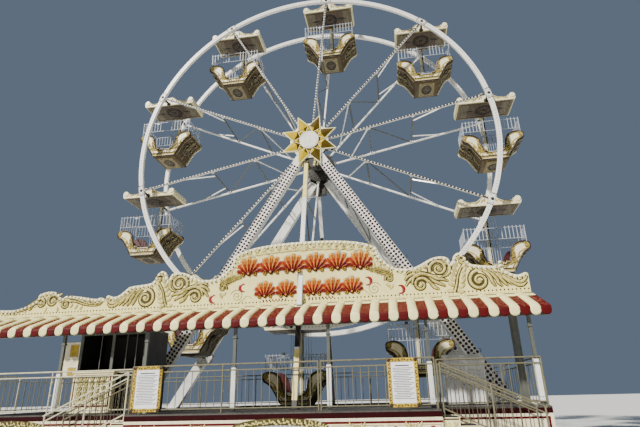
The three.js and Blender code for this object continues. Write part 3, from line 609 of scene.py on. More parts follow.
# The gondola's cream ends and floor pan are given brown as painted shade.
END_PAINTED_SHADE = coated("gondola end, painted shade", "584a30", "2a2216", 0.75, 5.0, 0.5, shine=0.3)
# Dark brown for trim lines and studs, and for painted shadow along the tub's edges, the front edges of the
# seat backs and under the gold work.
BROWN_TRIM_AND_PAINTED_SHADOW = coated("brown trim and painted shadow", "33200f", "150d06", 0.6, 6.0, 0.42)
SEAT_RED = coated("seat back, dark red", "4c1716", "2a0d0c", 0.5, 5.0, 0.45)
PALE_BLUE = coated("pale blue grey", "a9b3c4", "6c7484", 0.5, 5.0, 0.4)
# Khaki railing paint, taken darker as painted shade.
RAIL_KHAKI_AND_PAINTED_SHADE = coated("railing khaki and painted shade", "7b765e", "46432f", 0.6, 7.0, 0.42, metal=0.25)
# The stair balusters are given a darker paint as painted shade.
RAIL_BARS_PAINTED_SHADE = coated("railing bars, painted shade", "57503f", "332e22", 0.5, 7.0, 0.45)
RAIL_CREAM = coated("railing cream", "cbc5a8", "837d60", 0.5, 7.0, 0.4)
# The cage is white paint, given blue-grey as painted shade.
CAGE_GREY_PAINTED_SHADE = coated("cage, painted shade grey", "aeb3bc", "6d747e", 0.4, 12.0, 0.4)
POST_GREY = coated("awning post grey", "64665f", "3a3b36", 0.6, 6.0, 0.42, metal=0.3)
SLEEVE_WHITE = coated("post sleeve white", "f2f1ea", "a8a698", 0.4, 5.0, 0.35)
DARK_STEEL = coated("dark steel", "33312e", "161412", 0.5, 5.0, 0.5, metal=0.3)
DECK_GREY = coated("deck tread sheet", "4d4a46", "26241f", 0.7, 3.0, 0.55, metal=0.2, bump=0.5, depth=0.002)
CHASSIS = coated("chassis paint", "2e2c2a", "5c554a", 0.5, 4.0, 0.6)
BOARD_YELLOW = coated("notice frame yellow", "c2a436", "6e5514", 0.7, 9.0, 0.42, shine=0.3)
NOTICE_WHITE = coated("notice face", "f0f0f2", "cacace", 0.3, 6.0, 0.35)
RULE_GREY = coated("notice rule lines", "30344c", "1e2032", 0.4, 9.0, 0.5)
DARK_ROOM = coated("pay box dark", "1d1a18", "0c0a09", 0.5, 3.0, 0.5)
PROP_YELLOW = coated("prop cream yellow", "ecd987", "a08c48", 0.5, 5.0, 0.38)
TREAD_BLACK = coated("tread rubber", "242322", "4a4844", 0.5, 8.0, 0.7)
FINE_LINE = coated("fine olive line", "9c9464", "6d6640", 0.5, 9.0, 0.45)
AWNING_RED = coated("awning red", "52080b", "320507", 0.4, 3.0, 0.5, shine=0.15)
AWNING_FADED = coated("awning red, sun faded", "540a0b", "9a6450", 0.5, 7.0, 0.6, shine=0.1)
AWNING_CREAM = coated("awning cream", "f8efae", "c4b26e", 0.3, 3.0, 0.42, shine=0.35)
CRIMSON_TO_AMBER = (("4c0c14", "2c070c"), ("7e1a12", "4e0f0b"), ("a83a16", "741f0d"), ("c9711c", "8f4510"),
                    ("dfa840", "a4721e"))
GRADED = [coated(f"graded ornament {n}", clean, grime_and_shade, 0.5, 9.0, 0.5, shine=0.2)
          for n, (clean, grime_and_shade) in enumerate(CRIMSON_TO_AMBER)]


# Rims, spokes and hub

def ring_section(stock, mid, y, radial, axial, steps, chamfer=0.012):
    """A rim ring of chamfered section."""
    r0, r1 = mid - radial / 2, mid + radial / 2
    y0, y1 = y - axial / 2, y + axial / 2
    c = chamfer
    profile = [(r0 + c, y0), (r1 - c, y0), (r1, y0 + c), (r1, y1 - c),
               (r1 - c, y1), (r0 + c, y1), (r0, y1 - c), (r0, y0 + c)]
    sections = []
    for i in range(steps):
        t = 2 * math.pi * i / steps
        sections.append([(r * math.sin(t), w, r * math.cos(t)) for r, w in profile])
    skin(stock, sections, loop=True)


def wheel_turn(angle):
    """Local x to the right, y along the axle and z out from the hub, clockwise from the top."""
    return Matrix.Translation((0, 0, HUB_HEIGHT)) @ Matrix.Rotation(angle, 4, "Y")


RIM_STEPS = 240
RIM_LAMPS = 380
JOINT_SHIFT = 0.2
PIVOT_PLATE_HALF = 0.16


def make_rims():
    """Both rims with their joints and pivot plates; the front one carries the lamps."""
    for side, node in ((-1, "rim_front"), (1, "rim_rear")):
        stock = Stock()
        stock.place = wheel_turn(0)
        ring_section(stock, PIVOT_RADIUS, side * RIM_PLANE, RIM_RADIAL, RIM_AXIAL, RIM_STEPS)
        face = side * (RIM_PLANE + RIM_AXIAL / 2)
        outward = (0, side, 0)
        if side < 0:
            for k in range(RIM_LAMPS):
                t = 2 * math.pi * (k + 0.5) / RIM_LAMPS
                u, v = PIVOT_RADIUS * math.sin(t), PIVOT_RADIUS * math.cos(t)
                dome(stock, (u, face, v), outward, 0.024, 0.006, HOLDER_GREY, 6)
                dome(stock, (u, face - 0.006, v), outward, 0.012, 0.014, LAMP_PEARL, 5)
        for k in range(CABIN_COUNT):
            stock.place = wheel_turn(FIRST_CABIN + k * CABIN_STEP)
            low, high = PIVOT_RADIUS - RIM_RADIAL / 2, PIVOT_RADIUS + RIM_RADIAL / 2
            for shift in (-JOINT_SHIFT, JOINT_SHIFT):
                plank(stock, (shift - 0.014, face - 0.008, low), (shift + 0.014, face + 0.008, high), 0.003,
                      DARK_STEEL)
            plank(stock, (-PIVOT_PLATE_HALF, face - 0.014, low - 0.012),
                  (PIVOT_PLATE_HALF, face + 0.014, high + 0.012), 0.01)
            plate_face = face + side * 0.014
            dome(stock, (0, plate_face, PIVOT_RADIUS), outward, 0.06, 0.035, DARK_STEEL, 12)
            for u in (-0.12, 0.12):
                for v in (-0.06, 0.06):
                    dome(stock, (u, plate_face, PIVOT_RADIUS + v), outward, 0.016, 0.014, DARK_STEEL, 6)
        make(node + "_ring", stock, [RIM_WHITE, HOLDER_GREY, LAMP_PEARL, DARK_STEEL], "wheel", (node,))


CHORD = 0.066
CROSS_BAR = 0.044
INNER_CROSS = PIVOT_RADIUS * 0.33
OUTER_CROSS = PIVOT_RADIUS * 0.58
STRUT_END = PIVOT_RADIUS * 0.76
HUB_STRUT_END = PIVOT_RADIUS * 0.19
SPOKE_LAMP_PITCH = 0.125


def make_spokes():
    """Twin chords with collars, gussets, cross bars and braces, and a lamp strip in front."""
    start, end = HUB_RADIUS * 0.99, PIVOT_RADIUS - RIM_RADIAL / 2
    sideways = (1, 0, 0)
    brace = CROSS_BAR * 0.8
    for k in range(CABIN_COUNT):
        stock = Stock()
        stock.place = wheel_turn(FIRST_CABIN + k * CABIN_STEP)
        half = CHORD / 2
        for side in (-1, 1):
            y = side * RIM_PLANE
            plank(stock, (-half, y - half, start), (half, y + half, end - 0.005), 0.008)
            plank(stock, (-0.06, y - 0.05, end - 0.35), (0.06, y + 0.05, end - 0.33), 0.004, POST_GREY)
            plank(stock, (-0.08, y - 0.055, start + 0.02), (0.08, y + 0.055, start + 0.1), 0.01, POST_GREY)
            for radius in (INNER_CROSS, OUTER_CROSS):
                gusset = y - side * (half + 0.05)
                plank(stock, (-0.026, gusset - 0.05, radius - 0.055), (0.026, gusset + 0.05, radius + 0.055),
                      0.006)
        for radius in (INNER_CROSS, OUTER_CROSS):
            strut(stock, (0, -RIM_PLANE, radius), (0, RIM_PLANE, radius), CROSS_BAR, CROSS_BAR, POST_GREY,
                  sideways)
        braces = ((-RIM_PLANE, INNER_CROSS, RIM_PLANE, OUTER_CROSS, POST_GREY),
                  (-RIM_PLANE * 0.6, OUTER_CROSS, -RIM_PLANE, STRUT_END, RIM_WHITE),
                  (RIM_PLANE * 0.5, OUTER_CROSS, RIM_PLANE, STRUT_END, RIM_WHITE),
                  (-RIM_PLANE, INNER_CROSS, RIM_PLANE, HUB_STRUT_END, RIM_WHITE))
        for ya, za, yb, zb, paint in braces:
            strut(stock, (0, ya, za), (0, yb, zb), brace, brace, paint, sideways)
        face = -RIM_PLANE - half
        plank(stock, (-0.027, face - 0.006, start + 0.12), (0.027, face + 0.002, end - 0.05), 0.002,
              HOLDER_DARK)
        lamps = round((end - start - 0.3) / SPOKE_LAMP_PITCH)
        for n in range(lamps):
            z = start + 0.2 + n * SPOKE_LAMP_PITCH
            dome(stock, (0, face - 0.006, z), (0, -1, 0), 0.027, 0.024, LAMP_PEARL, 7)
        node = f"spoke_{k + 1:02d}"
        make(node + "_frame", stock, [RIM_WHITE, POST_GREY, HOLDER_DARK, LAMP_PEARL], "wheel", (node,))


HUB_BOLTS = 20


def make_hub():
    """Drum with flange bolts and three bands."""
    stock = Stock()
    stock.place = Matrix.Translation((0, 0, HUB_HEIGHT)) @ Matrix.Rotation(math.radians(90), 4, "X")
    r = HUB_RADIUS
    core = 0.28
    half = [(core, 0.94), (r, 0.995), (r, 1.11), (r - 0.01, 1.125), (0, 1.125)]
    turned(stock, [(a, -w) for a, w in half[::-1]] + half, 64)
    for side in (-1, 1):
        for n in range(HUB_BOLTS):
            t = 2 * math.pi * (n + 0.5) / HUB_BOLTS
            at = (0.5 * math.cos(t), 0.5 * math.sin(t), side * 0.97)
            dome(stock, at, (0, 0, -side), 0.025, 0.03, POST_GREY, 6)
    for w in (-0.6, 0.0, 0.6):
        turned(stock, rectangle(core - 0.001, w - 0.03, 0.31, w + 0.03), 48, POST_GREY)
    make("hub_drum", stock, [DARK_STEEL, POST_GREY], "wheel", ("hub",))


make_rims()
make_spokes()
make_hub()


# Gondolas, one mesh shared by all ten

TUB_HALF = [(0.0, -2.12), (0.22, -2.12), (0.33, -2.06), (0.39, -1.93), (0.42, -1.76), (0.47, -1.6),
            (0.58, -1.46), (0.74, -1.385), (0.9, -1.37), (1.04, -1.42), (1.1, -1.52), (1.09, -1.63),
            (1.0, -1.7), (0.88, -1.77), (0.78, -1.9), (0.68, -2.06), (0.56, -2.27), (0.445, -2.45)]
SEAT_BACK = [(0.435, -2.45), (0.57, -2.22), (0.69, -2.01), (0.8, -1.85), (0.92, -1.745), (1.035, -1.68),
             (1.08, -1.6), (1.08, -1.51)]


def tub_panel(stock, facing):
    """Swept tub panel with its gold work."""
    stock.place = face_at((0, facing * TUB_FACE, 0), *(FRONT if facing < 0 else REAR))
    right = [*TUB_HALF[:2], *flow(TUB_HALF[1:], 3)[1:]]
    outline = right + flipped(-1, right[::-1])[:-1]
    plate(stock, outline, -0.036, -0.03, SEAT_RED)
    plate(stock, outline, -0.03, -0.026, PANEL_WHITE, ease=0.003)
    upper = flow(TUB_HALF[1:12], 5)
    lower = flow(TUB_HALF[11:], 4)
    for s in (1, -1):
        def gold_scroll(u, v, radius, start, sweep, width, steps=26):
            """A gold spiral over a wider dark brown band of painted shadow."""
            path = flipped(s, volute(u, v, radius, start, sweep, 0.12, steps))
            ridge(stock, path, taper(width * 2.0, 0.4), -0.018, BROWN_TRIM_AND_PAINTED_SHADOW, sunk=BEDDED)
            ridge(stock, path, taper(width * 1.3, 0.45), -0.002, GOLD_PAINT, sunk=BEDDED)
            boss(stock, s * u, v, width * 0.7, 0.0, GOLD_PAINT, 8)

        # Wide dark brown lines of painted shadow along the top and lower edges, each with a gold line inside.
        ridge(stock, flipped(s, upper), 0.062, -0.001, BROWN_TRIM_AND_PAINTED_SHADOW, sunk=BEDDED, shift=-s * 0.026)
        ridge(stock, flipped(s, upper), 0.022, 0.0, GOLD_PAINT, sunk=BEDDED, shift=-s * 0.07)
        ridge(stock, flipped(s, lower), 0.036, -0.004, BROWN_TRIM_AND_PAINTED_SHADOW, sunk=BEDDED, shift=-s * 0.016)
        ridge(stock, flipped(s, lower), 0.022, -0.002, GOLD_PAINT, sunk=BEDDED, shift=-s * 0.048)
        inner_line = flow([(0.4, -2.3), (0.52, -2.13), (0.6, -1.96), (0.68, -1.8), (0.84, -1.68),
                           (0.98, -1.62)], 5)
        ridge(stock, flipped(s, inner_line), lambda t: 0.045 - 0.015 * t, -0.006, GOLD_PAINT, sunk=BEDDED)
        gold_scroll(0.985, -1.525, 0.1, 150, -480, 0.06)
        gold_scroll(0.52, -2.02, 0.13, 70, 470, 0.065)
        gold_scroll(0.53, -1.64, 0.05, 40, 400, 0.04, 18)
        for u, v, heading, length, bend in ((0.34, -2.17, 20, 0.2, 40), (0.44, -1.86, 70, 0.18, -50),
                                            (0.6, -1.95, 30, 0.18, 50), (0.56, -1.86, 110, 0.16, -40),
                                            (0.3, -2.2, 190, 0.2, -30), (0.4, -2.1, 150, 0.15, 40)):
            path = flipped(s, leaf_path(u, v, heading, length, bend))
            # Each gold leaf lies on a wider dark brown copy, a painted shadow.
            ridge(stock, path, swelling(0.1, 0.2, 0.1, 0.85), -0.02, BROWN_TRIM_AND_PAINTED_SHADOW, sunk=BEDDED)
            ridge(stock, path, swelling(0.068, 0.15, 0.1, 0.85), -0.004, GOLD_PAINT, sunk=BEDDED)
    for half, v, paint in ((0.46, -2.43, BROWN_TRIM_AND_PAINTED_SHADOW), (0.475, -2.39, CREAM_GLOSS), (0.5, -2.345, GOLD_PAINT),
                           (0.52, -2.295, BROWN_TRIM_AND_PAINTED_SHADOW), (0.24, -2.16, BROWN_TRIM_AND_PAINTED_SHADOW)):
        ridge(stock, [(-half + n * half / 5, v) for n in range(11)], 0.045, -0.006, paint, sunk=BEDDED)
    for u in (-0.2, -0.1, 0.0, 0.1, 0.2):
        boss(stock, u, -2.235, 0.034, -0.004, GOLD_PAINT, 8)


SEAT_TOP = -2.0
BENCH_BACK = 0.26
BENCH_FRONT = 0.64
BENCH_FOOT = -2.44
CUSHION = 0.06
BACK_RIB = 0.022


def end_medallion(stock):
    """A dark disc on a seat back with an olive ring and scrolls."""
    plate(stock, circle(0.23, 24), -0.05, 0.0, LINING_DARK)
    border(stock, circle(0.215, 24), 0.034, 0.014, OLIVE_BROWN)
    for n in (-1, 1):
        ridge(stock, volute(n * 0.075, 0.0, 0.09, 90 - n * 60, n * 460, 0.15, 20), 0.024, 0.012, OLIVE_BROWN)
        boss(stock, 0, n * 0.14, 0.03, 0.012, OLIVE_BROWN, 8)


def gondola_shell(stock):
    """Seat backs with carved outer faces, benches with cushions and the floor pan."""
    back = flow(SEAT_BACK, 3)
    depth = TUB_FACE - 0.04
    for s in (1, -1):
        stock.place = Matrix.Identity(4)
        section = back + offset_line(back, -0.03)[::-1]
        # The outer faces of the seat backs take the brown of painted shade.
        skin(stock, [[(s * x, y, z) for x, z in section] for y in (-depth, depth)], END_PAINTED_SHADE)
        inside = offset_line(back, -0.034)
        skin(stock, [[(s * x, y, z) for x, z in inside[5:] + offset_line(back, -0.05)[5:][::-1]]
                     for y in (-depth + 0.03, depth - 0.03)], SEAT_RED)
        # The front rib of each seat back is dark brown as painted shadow; the rear one is white.
        for edge, paint in ((-depth, BROWN_TRIM_AND_PAINTED_SHADOW), (depth, PANEL_WHITE), (-depth + 0.1, OLIVE_BROWN),
                            (depth - 0.1, OLIVE_BROWN), (0.0, OLIVE_BROWN)):
            rib = [(s * x, edge, z) for x, z in offset_line(back, 0.008)[1:-2]]
            tube(stock, rib, BACK_RIB, 6, paint, up=(0, 1, 0))
        tube(stock, [(s * 1.07, y, -1.53) for y in (-depth, 0, depth)], 0.03, 8, GOLD_PAINT)
        for start, end in ((2, 4), (4, 6)):
            (xa, za), (xb, zb) = SEAT_BACK[start], SEAT_BACK[end]
            up = Vector((s * (xb - xa), 0, zb - za))
            middle = ((xa + xb) / 2 * s, 0, (za + zb) / 2)
            stock.place = face_at(Vector(middle) + Vector((s * 0.012, 0, -0.03)), (0, s, 0), up)
            for n in (-1, 1):
                path = volute(n * 0.17, 0.0, 0.11, 90 - n * 60, n * 460, 0.15, 20)
                ridge(stock, path, taper(0.045, 0.5), 0.016, LINING_DARK)
                leaf(stock, n * 0.3, -0.04, 90 + n * 60, 0.2, 0.07, -n * 60, 0.016, OLIVE_BROWN)
                leaf(stock, n * 0.04, -0.1, 90 - n * 20, 0.2, 0.07, n * 40, 0.016, OLIVE_BROWN)
        (xa, za), (xb, zb) = SEAT_BACK[1], SEAT_BACK[4]
        middle = Vector((s * (xa + xb) / 2, 0, (za + zb) / 2))
        stock.place = face_at(middle, (0, s, 0), (s * (xb - xa), 0, zb - za))
        end_medallion(stock)
        stock.place = Matrix.Identity(4)
        x0, x1 = sorted((s * BENCH_BACK, s * BENCH_BACK + s * 0.03))
        plank(stock, (x0, -depth, BENCH_FOOT), (x1, depth, SEAT_TOP - CUSHION / 2), 0.004, CREAM_GLOSS)
        x0, x1 = sorted((s * BENCH_BACK, s * BENCH_FRONT))
        plank(stock, (x0, -depth, SEAT_TOP - CUSHION), (x1, depth, SEAT_TOP), 0.018, BAND_RED)
    # The floor pan takes the brown of painted shade.
    floor = [(-0.445, -2.452), (-0.32, -2.495), (0.32, -2.495), (0.445, -2.452)]
    skin(stock, [[(x, y * (1.0 if z > -2.47 else 0.9), z) for x, z in floor] for y in (-depth, depth)],
         END_PAINTED_SHADE)
    stock.place = face_at((0, 0, -2.494), (1, 0, 0), (0, -1, 0))
    plate(stock, rectangle(-0.3, -0.46, 0.3, 0.46), -0.003, 0.003, OLIVE_BROWN)
    oval = [(u, 1.5 * v) for u, v in circle(0.2, 28)]
    plate(stock, oval, 0.0, 0.006, LINING_DARK)
    border(stock, oval, 0.026, 0.009, BROWN_TRIM_AND_PAINTED_SHADOW)
    for n in (-1, 1):
        ridge(stock, volute(n * 0.07, 0.0, 0.09, 90 - n * 60, n * 460, 0.15, 20), 0.022, 0.011, OLIVE_BROWN)
        ridge(stock, volute(0.0, n * 0.16, 0.07, 90 - n * 90, n * 400, 0.15, 16), 0.02, 0.011, OLIVE_BROWN)
        ridge(stock, [(-0.22, n * 0.39), (0, n * 0.39), (0.22, n * 0.39)], 0.03, 0.008, LINING_DARK)
    stock.place = Matrix.Identity(4)


def gondola_canopy(stock):
    """Roof tray with rolled ends, dark lining with a medallion, and carved profile boards."""
    stock.place = Matrix.Identity(4)
    inner = flow([(0.0, 0.03), (0.5, 0.03), (0.85, 0.03), (0.93, 0.07), (0.965, 0.15)], 3)
    outer = flow([(1.07, 0.2), (1.072, 0.1), (1.06, 0.02), (1.02, -0.025), (0.95, -0.03), (0.4, -0.03),
                  (0.0, -0.03)], 3)
    half = inner[1:] + outer[:-1]
    section = [(0.0, 0.03)] + half + [(0.0, -0.03)] + flipped(-1, half[::-1])
    reach = TUB_FACE - 0.02
    skin(stock, [[(x, y, z) for x, z in section] for y in (-reach, reach)], CREAM_GLOSS)
    for s in (1, -1):
        tube(stock, [(s * 0.975, y, 0.165) for y in (-reach, 0, reach)], 0.09, 16, PANEL_WHITE)
    stock.place = face_at((0, 0, -0.031), (1, 0, 0), (0, -1, 0))
    u, v = 1.0, 0.56
    plate(stock, rectangle(-u, -v, u, v), -0.003, 0.004, UNDERSIDE)
    for n in (-1, 1):
        a, b = sorted((n * 0.94, n * 0.62))
        plate(stock, rectangle(a, -0.46, b, 0.46), 0.0, 0.007, LINING_PALE)
    for inset, paint, width in ((0.02, OLIVE_BROWN, 0.07), (0.09, LINING_DARK, 0.03)):
        a, b = u - inset - 0.02, v - inset
        border(stock, rectangle(-a, -b, a, b), width, 0.012, paint)
    ridge(stock, circle(0.33, 24) + [(0.33, 0.0)], 0.05, 0.014, LINING_DARK)
    plate(stock, circle(0.31, 24), 0.0, 0.008, LINING_DARK)
    for n in range(12):
        a = math.radians(30 * n)
        leaf(stock, 0.07 * math.cos(a), 0.07 * math.sin(a), 30 * n, 0.2, 0.07, 0, 0.022, UNDERSIDE)
    for n in (-1, 1):
        leaf(stock, n * 0.4, 0.0, 90 - n * 90, 0.45, 0.16, 0, 0.012, LINING_DARK)
    crest = [(1.03, -0.03), (1.055, 0.1), (1.06, 0.2), (1.0, 0.262), (0.9, 0.25), (0.85, 0.17), (0.78, 0.1),
             (0.6, 0.075), (0.45, 0.1), (0.33, 0.16), (0.22, 0.26), (0.1, 0.335)]
    right = [crest[0], *flow(crest[1:], 3)]
    outline = right + flipped(-1, right[::-1])
    for facing in (-1, 1):
        stock.place = face_at((0, facing * TUB_FACE, 0), *(FRONT if facing < 0 else REAR))
        plate(stock, outline, -0.04, -0.024, PANEL_WHITE, ease=0.005)
        ridge(stock, [(-1.02 + n * 0.204, -0.008) for n in range(11)], 0.04, -0.01, PANEL_WHITE, sunk=BEDDED)
        for s in (1, -1):
            edge = flipped(s, offset_line(flow(crest[5:], 4), 0.02))
            ridge(stock, edge, 0.03, -0.008, CREAM_GLOSS, sunk=BEDDED)
            boss(stock, s * 0.955, 0.16, 0.1, -0.001, PANEL_WHITE, 14)
            curl = volute(s * 0.955, 0.16, 0.075, 90 - s * 90, s * 430, 0.2, 18)
            ridge(stock, curl, 0.022, 0.0, GOLD_PAINT, sunk=BEDDED)
            for a, b, heading, length, bend in ((0.8, 0.06, 170, 0.3, -12), (0.5, 0.04, 150, 0.26, -14),
                                                (0.28, 0.08, 120, 0.2, 30), (0.16, 0.1, 100, 0.18, -20)):
                path = flipped(s, leaf_path(a, b, heading, length, bend))
                ridge(stock, path, swelling(0.055, 0.2, 0.1, 0.8), -0.006, GOLD_PAINT, sunk=BEDDED)
        boss(stock, 0, 0.02, 0.09, -0.003, DARK_STEEL, 16)
    stock.place = Matrix.Identity(4)
    pin_end = RIM_PLANE - RIM_AXIAL / 2 - 0.001
    for side in (-1, 1):
        tube(stock, [(0, side * 0.57, 0.02), (0, side * pin_end, 0.02)], 0.045, 16, DARK_STEEL)
        # The pin collars take the cage's blue-grey, painted shade on white.
        tube(stock, [(0, side * (pin_end - 0.05), 0), (0, side * pin_end, 0)], 0.07, 16, CAGE_GREY_PAINTED_SHADE)


CAGE_X = 1.0
CAGE_Y = 0.582
CAGE_TOP = -0.87
CAGE_BOTTOM = -1.27
CAGE_CORNER_FOOT = -1.48
CAGE_BARS = 16
BACK_BAR_PITCH = 0.09
GATE_POST_X = 0.25
HANGER_TOP = -0.02
HANGER_FOOT = -2.3


def gondola_cage(stock):
    """Gate bars in front, a barred back with the hanger post, rails round both and a lock box."""
    # Bars, rails and fittings take the blue-grey of painted shade on white paint.
    corners = rectangle(-CAGE_X, -CAGE_Y, CAGE_X, CAGE_Y)
    for z in (CAGE_TOP, CAGE_BOTTOM):
        for a, b in zip(corners, corners[1:] + corners[:1]):
            tube(stock, [(*a, z), (*b, z)], 0.011, 6, CAGE_GREY_PAINTED_SHADE)
    for n in range(CAGE_BARS + 1):
        bar_x = CAGE_X * (n / (CAGE_BARS / 2) - 1)
        foot = CAGE_CORNER_FOOT if n in (0, CAGE_BARS) else CAGE_BOTTOM
        if abs(bar_x) > 0.2:
            tube(stock, [(bar_x, -CAGE_Y, CAGE_TOP + 0.05), (bar_x, -CAGE_Y, foot)], 0.014, 6, CAGE_GREY_PAINTED_SHADE)
        tube(stock, [(bar_x, CAGE_Y, CAGE_TOP), (bar_x, CAGE_Y, foot)], 0.012, 6, CAGE_GREY_PAINTED_SHADE)
    for n in range(9):
        bar_x = BACK_BAR_PITCH * (n - 4)
        tube(stock, [(bar_x, CAGE_Y - 0.02, -0.03), (bar_x, CAGE_Y - 0.02, -2.1)], 0.01, 6, CAGE_GREY_PAINTED_SHADE)
    for side in (-1, 1):
        for n in range(8):
            bar_y = CAGE_Y * (2 * (n + 0.5) / 8 - 1)
            bar = [(side * CAGE_X, bar_y, CAGE_TOP), (side * CAGE_X, bar_y, CAGE_BOTTOM)]
            tube(stock, bar, 0.01, 5, CAGE_GREY_PAINTED_SHADE)
        if side < 0:
            for bar_x in (-GATE_POST_X, GATE_POST_X):
                tube(stock, [(bar_x, -CAGE_Y, CAGE_TOP), (bar_x, -CAGE_Y, CAGE_BOTTOM)], 0.016, 6, CAGE_GREY_PAINTED_SHADE)
    strut(stock, (-0.01, CAGE_Y, HANGER_TOP), (-0.01, CAGE_Y, HANGER_FOOT), 0.1, 0.03, CREAM_GLOSS)
    strut(stock, (0.06, CAGE_Y, HANGER_TOP), (0.06, CAGE_Y, HANGER_FOOT), 0.04, 0.024, DARK_STEEL)
    for z in (-0.2, CAGE_TOP, CAGE_BOTTOM, -2.2):
        plank(stock, (-0.07, CAGE_Y - 0.024, z - 0.035), (0.07, CAGE_Y + 0.015, z + 0.035), 0.005, CAGE_GREY_PAINTED_SHADE)
    plank(stock, (-0.44, -CAGE_Y - 0.014, -0.95), (-0.3, -CAGE_Y + 0.014, -0.89), 0.006, CAGE_GREY_PAINTED_SHADE)
    plank(stock, (-0.42, -CAGE_Y - 0.016, -0.86), (-0.32, -CAGE_Y + 0.016, -0.78), 0.006, DARK_STEEL)


def make_gondolas():
    """One gondola hung at each pivot."""
    stock = Stock()
    gondola_shell(stock)
    for facing in (-1, 1):
        tub_panel(stock, facing)
    gondola_canopy(stock)
    gondola_cage(stock)
    paints = [PANEL_WHITE, GOLD_PAINT, CREAM_GLOSS, UNDERSIDE, CAGE_GREY_PAINTED_SHADE, DARK_STEEL, BAND_RED, END_PAINTED_SHADE,
              SEAT_RED, BROWN_TRIM_AND_PAINTED_SHADOW, OLIVE_BROWN, LINING_DARK, LINING_PALE]
    mesh = finished_mesh("gondola", stock, paints)
    for k in range(CABIN_COUNT):
        a = FIRST_CABIN + k * CABIN_STEP
        at = (PIVOT_RADIUS * math.sin(a), 0, HUB_HEIGHT + PIVOT_RADIUS * math.cos(a))
        node = f"cabin_{k + 1:02d}"
        hang(node + "_gondola", mesh, node, at, (node,))


make_gondolas()


# Legs, star, bearing heads and props

LEG_RUN = math.hypot(LEG_FOOT_X, LEG_TOP_Z - DECK_TOP)
LEG_ALONG = (LEG_FOOT_X / LEG_RUN, -(LEG_TOP_Z - DECK_TOP) / LEG_RUN)
HOLE_PITCH = 0.12
HOLE_ROWS = 78
FIRST_HOLE = 0.45
LEG_HOOKS = (1.6, 3.4, 5.2, 7.0)


def leg_face(side, y, facing):
    """Local face on a leg: u across it and v up along it."""
    along = Vector((-side * LEG_ALONG[0], 0, -LEG_ALONG[1]))
    right = Vector((-along.z, 0, along.x)) if facing > 0 else Vector((along.z, 0, -along.x))
    foot = Vector((side * LEG_FOOT_X, y, DECK_TOP))
    return face_at(foot, right, along)


def dress_legs():
    """Three rows of lamp holes and hooks on the front legs, a bolted knuckle on the rear ones."""
    paints = [LEG_WHITE, HOLDER_DARK, LAMP_RED, DARK_STEEL]
    lift = (KNUCKLE_Z - DECK_TOP) / -LEG_ALONG[1]
    for facing, name in ((-1, "front"), (1, "rear")):
        for side, hand in ((-1, "left"), (1, "right")):
            stock = Stock()
            if facing < 0:
                stock.place = leg_face(side, -(LEG_PLANE + LEG_THICKNESS / 2), -1)
                for n in range(HOLE_ROWS):
                    v = FIRST_HOLE + n * HOLE_PITCH
                    for u in (-HOLE_PITCH, 0.0, HOLE_PITCH):
                        stud(stock, u, v, 0, 0.047, 0.01, HOLDER_DARK, 8)
                        stud(stock, u, v, 0.007, 0.032, 0.018, LAMP_RED)
                for u in (-0.163, 0.163):
                    ridge(stock, [(u, 0.3 + n * 0.98) for n in range(11)], 0.014, 0.01)
                for v in LEG_HOOKS:
                    hook = ((0.17, v), (0.23, v), (0.25, v + 0.04), (0.24, v + 0.09))
                    tube(stock, [(side * a, b, -0.06) for a, b in hook], 0.012, 6, DARK_STEEL)
            else:
                for face, turn in ((LEG_PLANE - LEG_THICKNESS / 2, -1), (LEG_PLANE + LEG_THICKNESS / 2, 1)):
                    stock.place = leg_face(side, face, turn)
                    hexagon = [(0.17 * math.cos(math.radians(a)), lift + 0.2 * math.sin(math.radians(a)))
                               for a in range(30, 390, 60)]
                    plate(stock, hexagon, -0.002, 0.018, LEG_WHITE, ease=0.006)
                    stud(stock, 0, lift, 0.018, 0.07, 0.012, HOLDER_DARK, 16)
                    for a in range(0, 360, 60):
                        turn_to = math.radians(a + 30)
                        u, v = 0.125 * math.cos(turn_to), lift + 0.15 * math.sin(turn_to)
                        stud(stock, u, v, 0.018, 0.018, 0.014, DARK_STEEL)
            make(f"leg_{name}_{hand}_detail", stock, paints)
            paint_node(f"leg_{name}_{hand}", LEG_WHITE)


STAR_DISC = 0.655
STAR_PLATE = 0.62
STAR_ARMS = 8
ARM_MIDDLE = 0.56
ARM_REACH = 0.545
ARM_TAIL = 0.24
ARM_HALF = 0.235
COLLAR_RADIUS = 0.365


